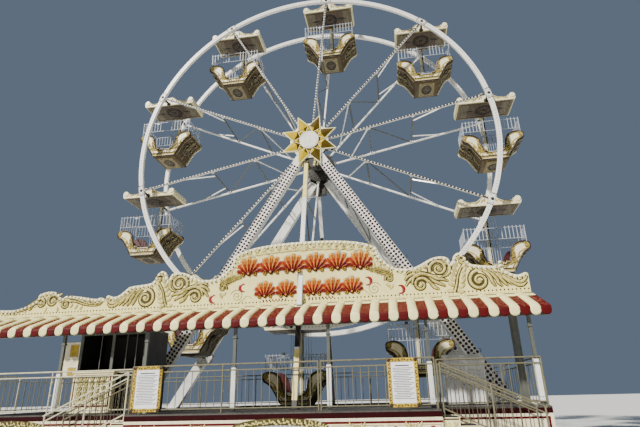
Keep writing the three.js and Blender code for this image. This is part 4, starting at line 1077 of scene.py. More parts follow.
def make_star():
    """Eight faceted arms on a scalloped disc with lamps between them; the facets carry painted light and
    shade.
    """
    stock = Stock()
    back = LEG_PLANE + LEG_THICKNESS / 2
    stock.place = face_at((0, -back, HUB_HEIGHT - STAR_DROP), *FRONT)
    scallop = []
    steps = 192
    for n in range(steps):
        t = 2 * math.pi * n / steps
        r = STAR_DISC + 0.06 * abs(math.cos(4 * t)) ** 0.6
        scallop.append((r * math.cos(t), r * math.sin(t)))
    plate(stock, scallop, 0.002, 0.04, PEARL, ease=0.01)
    # The gold disc between the arms takes the dark gold, painted shade at the roots of the arms.
    plate(stock, circle(STAR_PLATE, 64), 0.04, 0.046, STAR_PAINTED_SHADE_GOLD)
    for n in range(STAR_ARMS):
        a = math.radians(45 * n)
        stud(stock, 0.57 * math.cos(a), 0.57 * math.sin(a), 0.046, 0.05, 0.04, LAMP_RED, 10)
        # The boss at each arm's root takes the pale gold of the painted light.
        stud(stock, 0.47 * math.cos(a), 0.47 * math.sin(a), 0.046, 0.07, 0.06, STAR_PAINTED_LIGHT_GOLD, 8)
        for shift in (-0.11, 0.11):
            u, v = 0.64 * math.cos(a + shift), 0.64 * math.sin(a + shift)
            stud(stock, u, v, 0.042, 0.024, 0.02, LAMP_RED, 8)
    for n in range(STAR_ARMS):
        a = math.radians(22.5 + 45 * n)
        out, across = Vector((math.cos(a), math.sin(a), 0)), Vector((-math.sin(a), math.cos(a), 0))

        def at(reach, side, w):
            """A point on an arm of the star."""
            return out * reach + across * side + Vector((0, 0, w))

        def kite(scale, w):
            """The outline of an arm at a level."""
            return [at(ARM_MIDDLE + ARM_REACH * scale, 0, w), at(ARM_MIDDLE, ARM_HALF * scale, w),
                    at(ARM_MIDDLE - ARM_TAIL * scale, 0, w), at(ARM_MIDDLE, -ARM_HALF * scale, w)]

        skin(stock, [kite(1.0, 0.03), kite(1.0, 0.07), kite(0.95, 0.08)], CREAM_GLOSS)
        low = kite(0.88, 0.079)
        top = at(0.5, 0, 0.124)
        stock.add(low + [top], [(3, 2, 1, 0)], CREAM_GLOSS)
        for corner in range(4):
            side_a, side_b = low[corner], low[(corner + 1) % 4]
            # Facets turned to the left take the pale gold as painted light, the others the dark gold as
            # painted shade.
            lit = (side_a + side_b).x / 2 < top.x
            stock.add([side_a, side_b, top], [(0, 1, 2)], STAR_PAINTED_LIGHT_GOLD if lit else STAR_PAINTED_SHADE_GOLD)
    plate(stock, circle(COLLAR_RADIUS, 2 * STAR_ARMS), 0.04, 0.115, PEARL, ease=0.012)
    border(stock, circle(0.31, 32), 0.03, 0.124, CREAM_GLOSS)
    stud(stock, 0, 0, 0.112, 0.1, 0.016, PEARL, 16)
    paints = [CREAM_GLOSS, PEARL, LAMP_RED, STAR_PAINTED_SHADE_GOLD, STAR_PAINTED_LIGHT_GOLD]
    make("star", stock, paints, stands_for=("hub_star",), sharp=20)


def make_tower_heads():
    """Bolts and gold lobes on the bearing heads, and a domed cover on the rear one."""
    for facing, name in ((-1, "front"), (1, "rear")):
        stock = Stock()
        face = facing * (LEG_PLANE + LEG_THICKNESS / 2)
        stock.place = face_at((0, face, HUB_HEIGHT), *(FRONT if facing < 0 else REAR))
        for u, v in ((-0.3, -0.45), (0.3, -0.45), (-0.34, 0.0), (0.34, 0.0), (-0.42, -0.8), (0.42, -0.8)):
            stud(stock, u, v, -0.01, 0.035, 0.04, DARK_STEEL, 8)
        for s in (-1, 1):
            lobe = [(s * 0.26, -0.8), (s * 0.3, -0.95), (s * 0.27, -1.1)]
            ridge(stock, lobe, 0.05, 0.012, OLIVE_GOLD, sunk=BEDDED)
            for k in range(3):
                boss(stock, s * (0.2 - 0.02 * k), -0.86 - 0.1 * k, 0.05, 0.015, OLIVE_GOLD, 10)
        if facing > 0:
            turned(stock, [(0, 0), (0.26, 0), (0.24, 0.05), (0.1, 0.07), (0, 0.07)], 32)
        make(f"tower_head_{name}_fittings", stock, [DARK_STEEL, OLIVE_GOLD])
        paint_node(f"tower_head_{name}", DARK_STEEL)


# The dark length from 2.82 to 4.05 m is painted shade where the awning shades the front prop; the two short
# dark lengths below it are black bands.
PROP_LENGTHS = ((1.44, 2.05, PROP_YELLOW), (2.05, 2.09, HOLDER_DARK), (2.09, 2.17, PROP_YELLOW),
                (2.17, 2.21, HOLDER_DARK), (2.21, 2.75, PROP_YELLOW), (2.75, 2.82, LEG_WHITE),
                (2.82, 4.05, HOLDER_DARK), (4.05, 7.9, LEG_WHITE), (7.9, 9.4, PROP_YELLOW))
PROP_FOOT_Z = 1.26
PROP_HEAD_Y = 1.41
PROP_HEAD_Z = 9.49
PROP_BOLT_Z = (2.78, 4.7, 6.4, 8.1)


def dress_props():
    """Painted lengths, dark bands and cross bolts of the two props; the rear one is all white."""
    for name, foot_y in (("prop_front", -3.7), ("prop_rear", 4.3)):
        stock = Stock()
        side = 1 if foot_y > 0 else -1
        foot = Vector((PROP_X, foot_y, PROP_FOOT_Z))
        head = Vector((PROP_X, side * PROP_HEAD_Y, PROP_HEAD_Z))
        run = head - foot
        size = PROP_SIZE + 0.008
        for low, high, paint in PROP_LENGTHS:
            if side > 0:
                paint = LEG_WHITE
            a, b = ((z - foot.z) / run.z for z in (low, high))
            strut(stock, foot + run * a, foot + run * b, size, size, paint, (1, 0, 0))
        for z in PROP_BOLT_Z:
            centre = foot + run * ((z - foot.z) / run.z)
            for sx in (-1, 1):
                at = centre + Vector((sx * size / 2, 0, 0))
                dome(stock, at, (sx, 0, 0), 0.02, 0.015, DARK_STEEL, 6)
        make(name + "_paint", stock, [LEG_WHITE, PROP_YELLOW, DARK_STEEL, HOLDER_DARK])
        paint_node(name, HOLDER_DARK)


dress_legs()
make_star()
make_tower_heads()
dress_props()


# Front boards

RIGHT_CREST = [(2.75, 5.04), (3.18, 5.0), (3.48, 5.1), (3.8, 5.26), (4.08, 5.31), (4.29, 5.25), (4.38, 5.06),
               (4.46, 5.29), (4.61, 5.39), (4.76, 5.29), (4.89, 5.06), (5.1, 4.99), (5.64, 4.94), (5.7, 5.07),
               (5.77, 5.05), (5.81, 4.83), (6.0, 4.69), (6.18, 4.64), (6.38, 4.7), (6.45, 4.66)]
RIGHT_TAB = [(5.7, 5.07), (5.77, 5.05)]
ARCH_CREST = [(2.75, 5.04), (2.56, 5.17), (2.4, 5.33), (2.28, 5.5), (2.23, 5.7), (1.98, 5.84), (1.5, 5.96),
              (0.8, 6.03), (0, 6.05)]
FAR_CREST = [(-6.45, 4.56), (-6.62, 4.64), (-6.84, 4.61), (-7.45, 4.72), (-7.86, 4.76), (-8.0, 4.68),
             (-8.18, 4.87), (-8.54, 4.93), (-8.86, 4.83), (-8.92, 4.64), (-9.54, 4.4), (-10.25, 4.4)]
SLOT_HALF = 0.085
SLOT_TOP = BOARD_BOTTOM + 1.03
FOOT_LAMP_PITCH = 0.11
BULB_PITCH = 0.135


def board_stock(crest, slotted=False):
    """A panel with bulbs and leaves along its crest, lamp rows and a dark line at the foot."""
    stock = Stock()
    stock.place = face_at((0, BOARD_FRONT, 0), *FRONT)
    line = flow(crest, 4)
    outline = [(line[0][0], BOARD_BOTTOM), *line, (line[-1][0], BOARD_BOTTOM)]
    if slotted:
        left, right = PROP_X - SLOT_HALF, PROP_X + SLOT_HALF
        outline += [(right, BOARD_BOTTOM), (right, SLOT_TOP), (left, SLOT_TOP), (left, BOARD_BOTTOM)]
    if area(outline) < 0:
        outline = outline[::-1]
    plate(stock, outline, -0.06, 0.0, BOARD_CREAM, ease=0.004)
    inward = 1 if line[-1][0] > line[0][0] else -1
    for n, p in enumerate(evenly(offset_line(line, inward * 0.15), 0.12)):
        leaf(stock, p[0] + 0.03, p[1], 100 + 50 * (n % 3), 0.09, 0.05, 60 - 60 * (n % 2), 0.016, OLIVE_GOLD,
             DARK_OLIVE_AND_PAINTED_SHADOW)
    for p in evenly(offset_line(line, inward * 0.045), BULB_PITCH):
        stud(stock, *p, 0, 0.046, 0.04, PEARL, 8)
    for p in evenly(offset_line(line, inward * 0.105), BULB_PITCH):
        stud(stock, *p, 0, 0.026, 0.024, HOLDER_DARK)
    ends = sorted((line[0][0], line[-1][0]))
    runs = [ends]
    if slotted:
        runs = [(ends[0], PROP_X - SLOT_HALF), (PROP_X + SLOT_HALF, ends[1])]
    for x0, x1 in runs:
        for p in evenly([(x0, BOARD_BOTTOM + 0.135), (x1, BOARD_BOTTOM + 0.135)], FOOT_LAMP_PITCH):
            stud(stock, *p, 0, 0.025, 0.016, HOLDER_DARK)
        for p in evenly([(x0, BOARD_BOTTOM + 0.06), (x1, BOARD_BOTTOM + 0.06)], FOOT_LAMP_PITCH):
            stud(stock, *p, 0, 0.013, 0.01, FINE_LINE)
        foot = BOARD_BOTTOM + 0.016
        ridge(stock, [(x0 + 0.002, foot), (x1 - 0.002, foot)], 0.024, 0.012, HOLDER_DARK)
    return stock


def banded(stock, path, width, count, height=0.036, fringe=(-1, 1)):
    """Half-round mouldings side by side over a wider band of painted shadow, with leaves along the fringed
    edges.
    """
    ridge(stock, path, lambda t: width(t) * 1.08 + 0.045, 0.008, DARK_OLIVE_AND_PAINTED_SHADOW)
    stops = evenly(path, 0.085)
    for n, (p, q) in enumerate(zip(stops, stops[1:])):
        heading = math.degrees(math.atan2(q[1] - p[1], q[0] - p[0]))
        reach = width(n / len(stops)) / 2
        for side in fringe:
            turn = math.radians(heading + side * 90)
            root = (p[0] + reach * math.cos(turn), p[1] + reach * math.sin(turn))
            # The fringe leaves are outlined in dark as painted shadow.
            leaf(stock, *root, heading + side * 48, 0.075, 0.042, -side * 30, 0.024, OLIVE_GOLD, HOLDER_DARK)
    for n in range(count):
        share = (n + 0.5) / count - 0.5
        ridge(stock, path, lambda t: width(t) / count * 0.6,
              lambda t: height * (0.55 + 0.45 * width(t) / width(0.0)), OLIVE_GOLD,
              shift=lambda t, s=share: s * width(t))


def scroll(stock, s, u, v, radius, start, sweep, width, steps=34):
    """A carved spiral over a band of painted shadow with a boss in its eye; s mirrors it about the middle."""
    path = volute(s * u, v, radius, start if s > 0 else 180 - start, s * sweep, 0.16, steps)
    banded(stock, path, taper(width, 0.5), 1, fringe=())
    boss(stock, s * u, v, width * 0.36, 0.045, OLIVE_GOLD, 10)


def blades(stock, s, paths, width):
    """Long carved leaves side by side over bands of painted shadow."""
    lines = [flipped(s, flow(path, 4)) for path in paths]
    for line in lines:
        ridge(stock, line, lambda t: (width + 0.07) * (0.6 + 0.4 * math.sin(math.pi * t)), 0.008, DARK_OLIVE_AND_PAINTED_SHADOW)
    for line in lines:
        ridge(stock, line, swelling(width, 0.3, 0.15, 0.75), 0.04, OLIVE_GOLD)


def side_leaf(stock, s, u, v, heading, length, width, bend, height=0.03):
    """A leaf outlined in painted shadow; s mirrors it about the middle."""
    turn = heading if s > 0 else 180 - heading
    leaf(stock, s * u, v, turn, length, width, s * bend, height, OLIVE_GOLD, DARK_OLIVE_AND_PAINTED_SHADOW)


def moon(stock, s, u, v, radius, start=-115):
    """A painted red crescent."""
    path = volute(s * u, v, radius, start if s > 0 else 180 - start, s * 230, 0.92, 18)
    ridge(stock, path, lambda t: radius * 0.95 * math.sin(math.pi * (0.06 + 0.88 * t)), 0.012, SCROLL_RED)


SIDE_LEAVES = ((3.3, 4.86, 110, 0.13, -50), (3.46, 4.9, 110, 0.14, -50), (3.62, 4.96, 110, 0.14, -50),
               (4.36, 4.28, 195, 0.2, -40), (4.4, 4.42, 165, 0.24, -60), (4.42, 4.56, 150, 0.24, -60),
               (4.46, 4.7, 140, 0.22, -60), (4.5, 4.84, 135, 0.22, -60), (4.54, 4.98, 130, 0.2, -60),
               (4.5, 4.36, 10, 0.24, 50), (4.56, 4.5, 20, 0.24, 60), (4.6, 4.64, 30, 0.24, 60),
               (4.64, 4.8, 30, 0.22, 60), (4.46, 4.26, -20, 0.2, 30), (4.66, 4.96, 20, 0.2, 60))
TAIL_BLADES = (((5.2, 4.83), (5.32, 4.74), (5.41, 4.62), (5.46, 4.46), (5.53, 4.34)),
               ((5.32, 4.83), (5.47, 4.7), (5.58, 4.55), (5.62, 4.43), (5.71, 4.33)),
               ((5.47, 4.79), (5.65, 4.63), (5.74, 4.48), (5.86, 4.34)),
               ((5.62, 4.72), (5.83, 4.54), (5.98, 4.36)),
               ((5.7, 4.68), (5.98, 4.45), (6.14, 4.35), (6.28, 4.35), (6.38, 4.44)),
               ((5.78, 4.68), (6.06, 4.48), (6.24, 4.44), (6.36, 4.52), (6.4, 4.6)))
TWIN_BLADES = (((4.12, 5.2), (4.28, 5.08), (4.32, 4.92), (4.24, 4.76), (4.04, 4.68)),
               ((3.74, 4.76), (3.9, 4.66), (4.1, 4.62), (4.24, 4.56)),
               ((3.72, 4.7), (3.84, 4.58), (4.0, 4.5), (4.14, 4.42)),
               ((3.68, 4.62), (3.76, 4.5), (3.84, 4.4), (3.96, 4.34)),
               ((3.4, 4.76), (3.24, 4.72), (3.12, 4.62), (3.02, 4.48)),
               ((3.44, 4.8), (3.26, 4.82), (3.1, 4.76), (3.0, 4.64)),
               ((3.5, 4.84), (3.36, 4.92), (3.2, 4.92), (3.06, 4.84)))


def side_board(stock, s):
    """Carving of a side board; s is 1 on the right and -1 on the left."""
    stem = flow([(3.2, 4.52), (3.28, 4.74), (3.5, 4.82), (3.78, 4.74), (3.94, 4.72)], 6)
    banded(stock, flipped(s, stem), lambda t: 0.13 * math.sin(math.pi * (0.12 + 0.78 * t)) + 0.02, 1,
           fringe=())
    blades(stock, s, TWIN_BLADES, 0.078)
    scroll(stock, s, 4.0, 4.95, 0.27, 200, -560, 0.15)
    scroll(stock, s, 3.46, 4.5, 0.22, 20, 520, 0.13)
    trunk = flow([(4.38, 4.24), (4.46, 4.46), (4.52, 4.7), (4.62, 4.9), (4.7, 5.02)], 6)
    banded(stock, flipped(s, trunk), taper(0.1, 0.4), 1, fringe=())
    for u, v, heading, length, bend in SIDE_LEAVES:
        side_leaf(stock, s, u, v, heading, length, 0.105, bend, 0.036)
    scroll(stock, s, 4.68, 5.14, 0.15, 150, -450, 0.09)
    blades(stock, s, TAIL_BLADES, 0.084)
    scroll(stock, s, 5.1, 4.54, 0.29, 95, 620, 0.155, 44)
    moon(stock, s, 2.84, 4.4, 0.12)


def far_board(stock):
    """Carving of the low board at the far left."""
    scroll(stock, 1, -8.32, 4.62, 0.23, 0, 540, 0.135)
    scroll(stock, 1, -8.74, 4.56, 0.19, 180, -500, 0.115)
    scroll(stock, 1, -7.84, 4.48, 0.18, 20, 480, 0.11)
    scroll(stock, 1, -9.12, 4.42, 0.11, 180, -460, 0.06)
    scroll(stock, 1, -7.02, 4.46, 0.11, 0, 460, 0.055)
    tail = flow([(-7.84, 4.66), (-7.5, 4.6), (-7.1, 4.46), (-6.7, 4.42), (-6.56, 4.5)], 6)
    banded(stock, tail, lambda t: 0.16 * (1 - t) + 0.04, 2, fringe=())
    tail = flow([(-8.84, 4.66), (-9.1, 4.5), (-9.4, 4.36), (-9.7, 4.34)], 6)
    banded(stock, tail, lambda t: 0.12 * (1 - t) + 0.04, 2, fringe=())
    for u, v, heading, length, bend in ((-7.6, 4.5, -100, 0.18, -50), (-7.42, 4.46, -100, 0.18, -50),
                                        (-7.25, 4.42, -100, 0.16, -50), (-8.58, 4.76, 120, 0.14, 50),
                                        (-8.12, 4.76, 60, 0.14, -50), (-8.5, 4.42, -120, 0.18, 40),
                                        (-8.14, 4.42, -60, 0.18, -40), (-8.1, 4.56, 20, 0.16, 40),
                                        (-7.4, 4.56, 40, 0.16, 40), (-7.1, 4.52, 50, 0.14, 40)):
        leaf(stock, u, v, heading, length, 0.07, bend, 0.026, OLIVE_GOLD, DARK_OLIVE_AND_PAINTED_SHADOW)
    for x, z in ((-9.6, 4.31), (-9.85, 4.31), (-10.1, 4.31)):
        boss(stock, x, z, 0.03, 0.02, OLIVE_GOLD, 8)


PETAL_TURN = math.radians(21)
PETAL_STEPS = 12
PETAL_LENGTHS = (0.46, 0.44, 0.39, 0.32)


def graded_stroke(stock, path, width, height):
    """A moulding whose colour goes from crimson at its foot to amber at its head."""
    shades = [GRADED[max(0, min(4, int(v / 0.1)))] for u, v in path]
    first = 0
    for n in range(1, len(path)):
        if n == len(path) - 1 or shades[n] != shades[first]:
            share = [k / (len(path) - 1) for k in (first, n)]
            ridge(stock, path[first:n + 1], lambda t: width(share[0] + (share[1] - share[0]) * t), height,
                  shades[first])
            first = n


def shell(stock, place, scale):
    """A raised shell of seven petals, crimson to amber, each in a pale, a dark and an amber outline."""
    stock.place = place @ Matrix.Scale(scale, 4)
    petals = []
    for n in (-3, 3, -2, 2, -1, 1, 0):
        a, long = n * PETAL_TURN, PETAL_LENGTHS[abs(n)]
        root = 0.028 * n
        reach, rise = long * math.sin(a) - root, long * math.cos(a) - 0.05
        petals.append([(root + reach * k / PETAL_STEPS, 0.07 + rise * k / PETAL_STEPS)
                       for k in range(PETAL_STEPS + 1)])
    for wider, level, paint in ((0.07, 0.006, PALE_BLUE), (0.045, 0.012, HOLDER_DARK),
                                (0.022, 0.02, GRADED[4])):
        for path in petals:
            end, before = path[-1], path[-2]
            tip = (end[0] + (end[0] - before[0]) * wider * 8, end[1] + (end[1] - before[1]) * wider * 8)
            ridge(stock, path + [tip],
                  lambda t: (0.045 + 0.1 * t) * (1 - 0.5 * max(0.0, t - 0.85) / 0.15) + wider, level, paint)
    for path in petals:
        graded_stroke(stock, path,
                      lambda t: (0.04 + 0.098 * t) * (1 - 0.6 * max(0.0, t - 0.88) / 0.12), 0.036)
        ridge(stock, path[2:-1], lambda t: 0.012 + 0.012 * t, 0.046, HOLDER_DARK)
    for s in (-1, 1):
        curl = volute(s * 0.16, 0.06, 0.055, 90, s * 400, 0.2, 16)
        ridge(stock, curl, 0.05, 0.03, HOLDER_DARK)
        ridge(stock, curl, 0.026, 0.044, GRADED[4])
    boss(stock, 0, 0.07, 0.06, 0.05, GRADED[0], 12)
    boss(stock, 0, 0.07, 0.03, 0.066, GRADED[4], 8)


def arch_board(stock):
    """Two rows of graded shells among scrolls, leaves and moons."""
    board = stock.place.copy()
    for row, places, low, scale in ((0, (-1.74, -1.04, -0.35, 0.35, 1.04, 1.72), 5.03, 1.28),
                                    (1, (-1.22, -0.56, 0.28, 0.86, 1.44), 4.33, 1.12)):
        for n, u in enumerate(places):
            rise = 0.0 if row else 0.03 * (1 - (u / 1.8) ** 2)
            tilt = 0.0 if row else -0.02 * u
            place = board @ Matrix.Translation((u, low + rise, 0)) @ Matrix.Rotation(tilt, 4, "Z")
            shell(stock, place, scale)
    stock.place = board
    for u in (-0.92, 0.5):
        for n in range(8):
            x = u + (n - 3.5) * 0.1
            ridge(stock, [(x, 4.255), (x, 4.3)], 0.05, 0.016, GRADED[n % 2])
    for s in (1, -1):
        scroll(stock, s, 2.56, 4.72, 0.13, 200, -500, 0.06)
        tail = flow([(1.98, 5.04), (2.2, 5.02), (2.4, 4.94), (2.56, 4.88), (2.66, 4.8)], 6)
        banded(stock, flipped(s, tail), lambda t: 0.16 * math.sin(math.pi * (0.16 + 0.7 * t)), 3)
        curl = volute(s * 2.1, 4.46, 0.2, 20 if s > 0 else 160, s * 700, 0.1, 40)
        ridge(stock, curl, 0.024, 0.014, FINE_LINE)
        moon(stock, s, 1.9, 4.7, 0.12)
        for u, v, heading, length, bend in ((2.1, 5.08, 60, 0.22, 60), (2.2, 5.1, 20, 0.24, 40),
                                            (2.3, 5.08, 80, 0.2, 40), (2.46, 4.6, -60, 0.2, 50),
                                            (2.64, 4.58, -100, 0.2, -40), (2.5, 4.98, 60, 0.18, -40),
                                            (2.06, 5.24, 110, 0.22, 50), (2.12, 5.36, 120, 0.22, 50)):
            side_leaf(stock, s, u, v, heading, length, 0.08, bend)
        for n in range(9):
            u = 2.02 - n * 0.235
            v = 5.56 + 0.22 * math.sqrt(max(0.0, 1 - (u / 2.15) ** 2))
            side_leaf(stock, s, u, v, 172 - n, 0.25, 0.085, 40)
            side_leaf(stock, s, u - 0.02, v + 0.06, 110, 0.15, 0.07, -60)
            side_leaf(stock, s, u - 0.1, v + 0.05, 60, 0.14, 0.06, 60)
        line = flow([(1.62, 4.36), (1.78, 4.44), (1.92, 4.32), (2.1, 4.22)], 5)
        ridge(stock, flipped(s, line), 0.02, 0.014, FINE_LINE)
    for n in range(9):
        leaf(stock, 0, 5.74, 30 + 15 * n, 0.2, 0.06, 0, 0.03, OLIVE_GOLD, DARK_OLIVE_AND_PAINTED_SHADOW)


def make_boards():
    """The four boards along the front."""
    paints = [BOARD_CREAM, OLIVE_GOLD, PEARL, SCROLL_RED, HOLDER_DARK, FINE_LINE, DARK_OLIVE_AND_PAINTED_SHADOW, PALE_BLUE,
              *GRADED]
    for s, node in ((1, "board_right"), (-1, "board_left")):
        crest = [p for p in RIGHT_CREST if s > 0 or p not in RIGHT_TAB]
        stock = board_stock(flipped(s, crest))
        side_board(stock, s)
        make(node + "_carved", stock, paints, stands_for=(node,))
    stock = board_stock(FAR_CREST)
    far_board(stock)
    make("board_far_left_carved", stock, paints, stands_for=("board_far_left",))
    stock = board_stock(flipped(-1, ARCH_CREST[:-1]) + ARCH_CREST[::-1], True)
    arch_board(stock)
    make("board_centre_carved", stock, paints, stands_for=("board_centre",))


make_boards()


# Awning and its frame

SLOPE_STOPS = (0.0, 0.1, 0.2, 0.35, 0.5, 0.65, 0.8, 0.93)
ROLL_REACH = 0.07
ROLL_DROP = 0.04
SHEET_THICKNESS = 0.018
SLEEVE_HALF = 0.048


def make_awning():
    """Round-ended tongues of moulded sheet, rolled over at the front edge."""
    stock = Stock()
    left = AWNING_RIGHT - TONGUE * TONGUE_COUNT
    columns = 10
    (yb, zb), (yf, zf) = AWNING_BACK, AWNING_FRONT
    for n in range(TONGUE_COUNT):
        red = (TONGUE_COUNT - 1 - n) % 2 == 0
        x0 = left + n * TONGUE
        rows = []
        for i in range(columns + 1):
            share = i / columns
            x = x0 + TONGUE * (0.01 + 0.98 * share)
            arch = math.sin(math.pi * share)
            crown = (-0.01 if red else 0.07) * arch ** 0.6
            rise = [crown * min(1.0, 0.3 + 2.0 * t) for t in SLOPE_STOPS]
            line = []
            for t, high in zip(SLOPE_STOPS, rise):
                line.append((x, yb + (yf - yb) * t, zb + (zf - zb) * t + high))
            top = zf - ROLL_DROP
            for a in (18, 38, 58, 78):
                turn = math.radians(a)
                line.append((x, yf + ROLL_REACH - ROLL_REACH * math.sin(turn) - 0.004 * arch,
                             top + 0.05 * math.cos(turn) + crown * math.cos(turn)))
            squareness = 0.42 if red else 0.5
            bottom = VALANCE_BOTTOM + 0.1 * (1 - max(0.0, 1 - (2 * share - 1) ** 2) ** squareness)
            for k in range(1, 5):
                line.append((x, yf - 0.004 * arch, top + (bottom - top) * k / 4))
            rows.append(line)
        for start, end, paint in ((0, 2, AWNING_CREAM), (2, 8, AWNING_FADED if red else AWNING_CREAM),
                                  (8, 15, AWNING_RED if red else AWNING_CREAM)):
            skin(stock, [line[start:end + 1] for line in rows], paint, ring=False, ends=False)
    mesh = finished_mesh("awning_tongues", stock, [AWNING_RED, AWNING_FADED, AWNING_CREAM], 50)
    piece = hang("awning_tongues", mesh, "root", stands_for=("awning",))
    thick = piece.modifiers.new("sheet", "SOLIDIFY")
    thick.thickness = SHEET_THICKNESS
    thick.offset = -1


def make_awning_fittings():
    """White sleeves and dark collars on the awning posts."""
    stock = Stock()
    for n in range(POST_COUNT):
        x = FIRST_POST_X - BAY * n
        for low, high, paint, wider in ((1.24, 1.3, POST_GREY, 0.012), (1.3, 1.41, SLEEVE_WHITE, 0.012),
                                        (1.42, 2.3, SLEEVE_WHITE, 0.012), (2.3, 2.33, POST_GREY, 0.006),
                                        (3.05, 3.1, POST_GREY, 0.012)):
            reach = SLEEVE_HALF + wider
            plank(stock, (x - reach, POST_Y - reach, low), (x + reach, POST_Y + reach, high), 0.006, paint)
    make("awning_post_sleeves", stock, [SLEEVE_WHITE, POST_GREY])
    # The frame is grey; on the posts above the white sleeves the grey stands for the awning's shade, painted
    # in.
    paint_node("awning_frame", POST_GREY)


make_awning()
make_awning_fittings()


# Deck edge and painted fascia

FASCIA_PAINTS = [CREAM_GLOSS, OLIVE_GOLD, BAND_RED, PANEL_WHITE, SCROLL_RED, DECK_GREY, DARK_OLIVE_AND_PAINTED_SHADOW, PALE_BLUE,
                 FASCIA_RED]
SKIRT_BOTTOM = 0.03
PANEL_TOP = 0.95
PANEL_PITCH = 1.3
PANEL_LINE_LOW = 0.13
PANEL_LINE_HIGH = 0.91
CENTRE_HALF = 1.1
STAIR_SPAN = 2.4


def edge_bands(stock, length):
    """Tread strip, dark red band, white band and red line along the top of the fascia."""
    for low, high, level, paint in ((DECK_TOP - 0.035, DECK_TOP - 0.004, 0.006, DECK_GREY),
                                    (1.066, DECK_TOP - 0.037, 0.007, BAND_RED),
                                    (1.0, 1.066, 0.006, PANEL_WHITE), (PANEL_TOP, 1.0, 0.004, FASCIA_RED)):
        plate(stock, rectangle(0.0, low, length, high), -0.02, level, paint)


def fascia_length(stock, origin, right, length, centre=True):
    """One run of fascia: edge bands, a dark red foot and carving on lined cream panels."""
    stock.place = face_at(origin, right, (0, 0, 1))
    edge_bands(stock, length)
    for low, high, level, paint in ((SKIRT_BOTTOM, 0.07, 0.006, BAND_RED),
                                    (0.07, PANEL_TOP, 0.001, CREAM_GLOSS)):
        plate(stock, rectangle(0.0, low, length, high), -0.02, level, paint)
    panels = max(1, round(length / PANEL_PITCH))
    width = length / panels
    for n in range(panels):
        u = (n + 0.5) * width
        frame_half = width / 2 - 0.05
        line = rectangle(u - frame_half, PANEL_LINE_LOW, u + frame_half, PANEL_LINE_HIGH)
        border(stock, line, 0.014, 0.008, SCROLL_RED)
        if centre and abs(u - length / 2) < 1.4:
            continue
        for s in (1, -1):
            upper = volute(u + s * 0.22, 0.68, 0.15, 90 - s * 60, -s * 480, 0.15, 24)
            lower = volute(u + s * 0.2, 0.35, 0.12, 270 + s * 60, s * 470, 0.15, 24)
            # Each volute lies on a wider dark olive band of painted shadow.
            for path, dark, gold in ((upper, 0.07, 0.045), (lower, 0.055, 0.035)):
                ridge(stock, path, taper(dark, 0.5), 0.008, DARK_OLIVE_AND_PAINTED_SHADOW)
                ridge(stock, path, taper(gold, 0.5), 0.02, OLIVE_GOLD)
            for v, heading in ((0.84, 30), (0.78, 60), (0.56, -20), (0.46, 10), (0.24, -40)):
                turn = heading if s > 0 else 180 - heading
                leaf(stock, u + s * 0.06, v, turn, 0.2, 0.06, s * 50, 0.02, OLIVE_GOLD, DARK_OLIVE_AND_PAINTED_SHADOW)
            moon_at = volute(u + s * (frame_half - 0.16), 0.8, 0.075, 90 - s * 60, s * 230, 0.92, 14)
            ridge(stock, moon_at, lambda t: 0.055 * math.sin(math.pi * (0.06 + 0.88 * t)), 0.012, SCROLL_RED)
        for k in range(7):
            leaf(stock, u, 0.78, 30 + 20 * k, 0.15, 0.05, 0, 0.024, OLIVE_GOLD, DARK_OLIVE_AND_PAINTED_SHADOW)
        boss(stock, u, 0.77, 0.04, 0.03, OLIVE_GOLD, 10)


def fascia_centrepiece(stock, u):
    """An arched carving of leaves and bosses round a pale panel."""
    turns = [math.pi * n / 32 for n in range(33)]
    arch = [(u + CENTRE_HALF * math.cos(a), 0.78 + 0.23 * max(0.0, math.sin(a)) ** 0.7) for a in turns]
    plate(stock, [(u + 1.0, 0.14), *arch, (u - 1.0, 0.14)], 0.0, 0.009, PALE_BLUE)
    # A wide dark olive band of painted shadow lies behind the arch of leaves.
    ridge(stock, [(u + CENTRE_HALF, 0.4), *arch, (u - CENTRE_HALF, 0.4)], 0.2, 0.016, DARK_OLIVE_AND_PAINTED_SHADOW)
    for n, (x, z) in enumerate(arch):
        heading = math.degrees(turns[n])
        sway = 35 * (n % 3 - 1)
        boss(stock, x, z - 0.02 * (n % 2), 0.03, 0.034, OLIVE_GOLD, 8)
        leaf(stock, x, z + 0.005, heading + 60 + sway, 0.07 + 0.015 * (n % 2), 0.05, -50 - sway, 0.026,
             OLIVE_GOLD)
        leaf(stock, x, z - 0.03, heading - 100 - sway, 0.09, 0.045, 50 + sway, 0.026, OLIVE_GOLD)
        boss(stock, x + 0.03, z - 0.09, 0.02, 0.022, CREAM_GLOSS, 8)
    for s in (1, -1):
        for n in range(4):
            x, z = u + s * CENTRE_HALF, 0.7 - 0.1 * n
            boss(stock, x, z, 0.04, 0.034, OLIVE_GOLD, 8)
            leaf(stock, x, z, 90 - s * 60, 0.13, 0.05, 40, 0.03, OLIVE_GOLD)
        path = volute(u + s * 0.5, 0.55, 0.22, 90 - s * 60, -s * 500, 0.12, 30)
        ridge(stock, path, taper(0.06, 0.5), 0.026, OLIVE_GOLD)


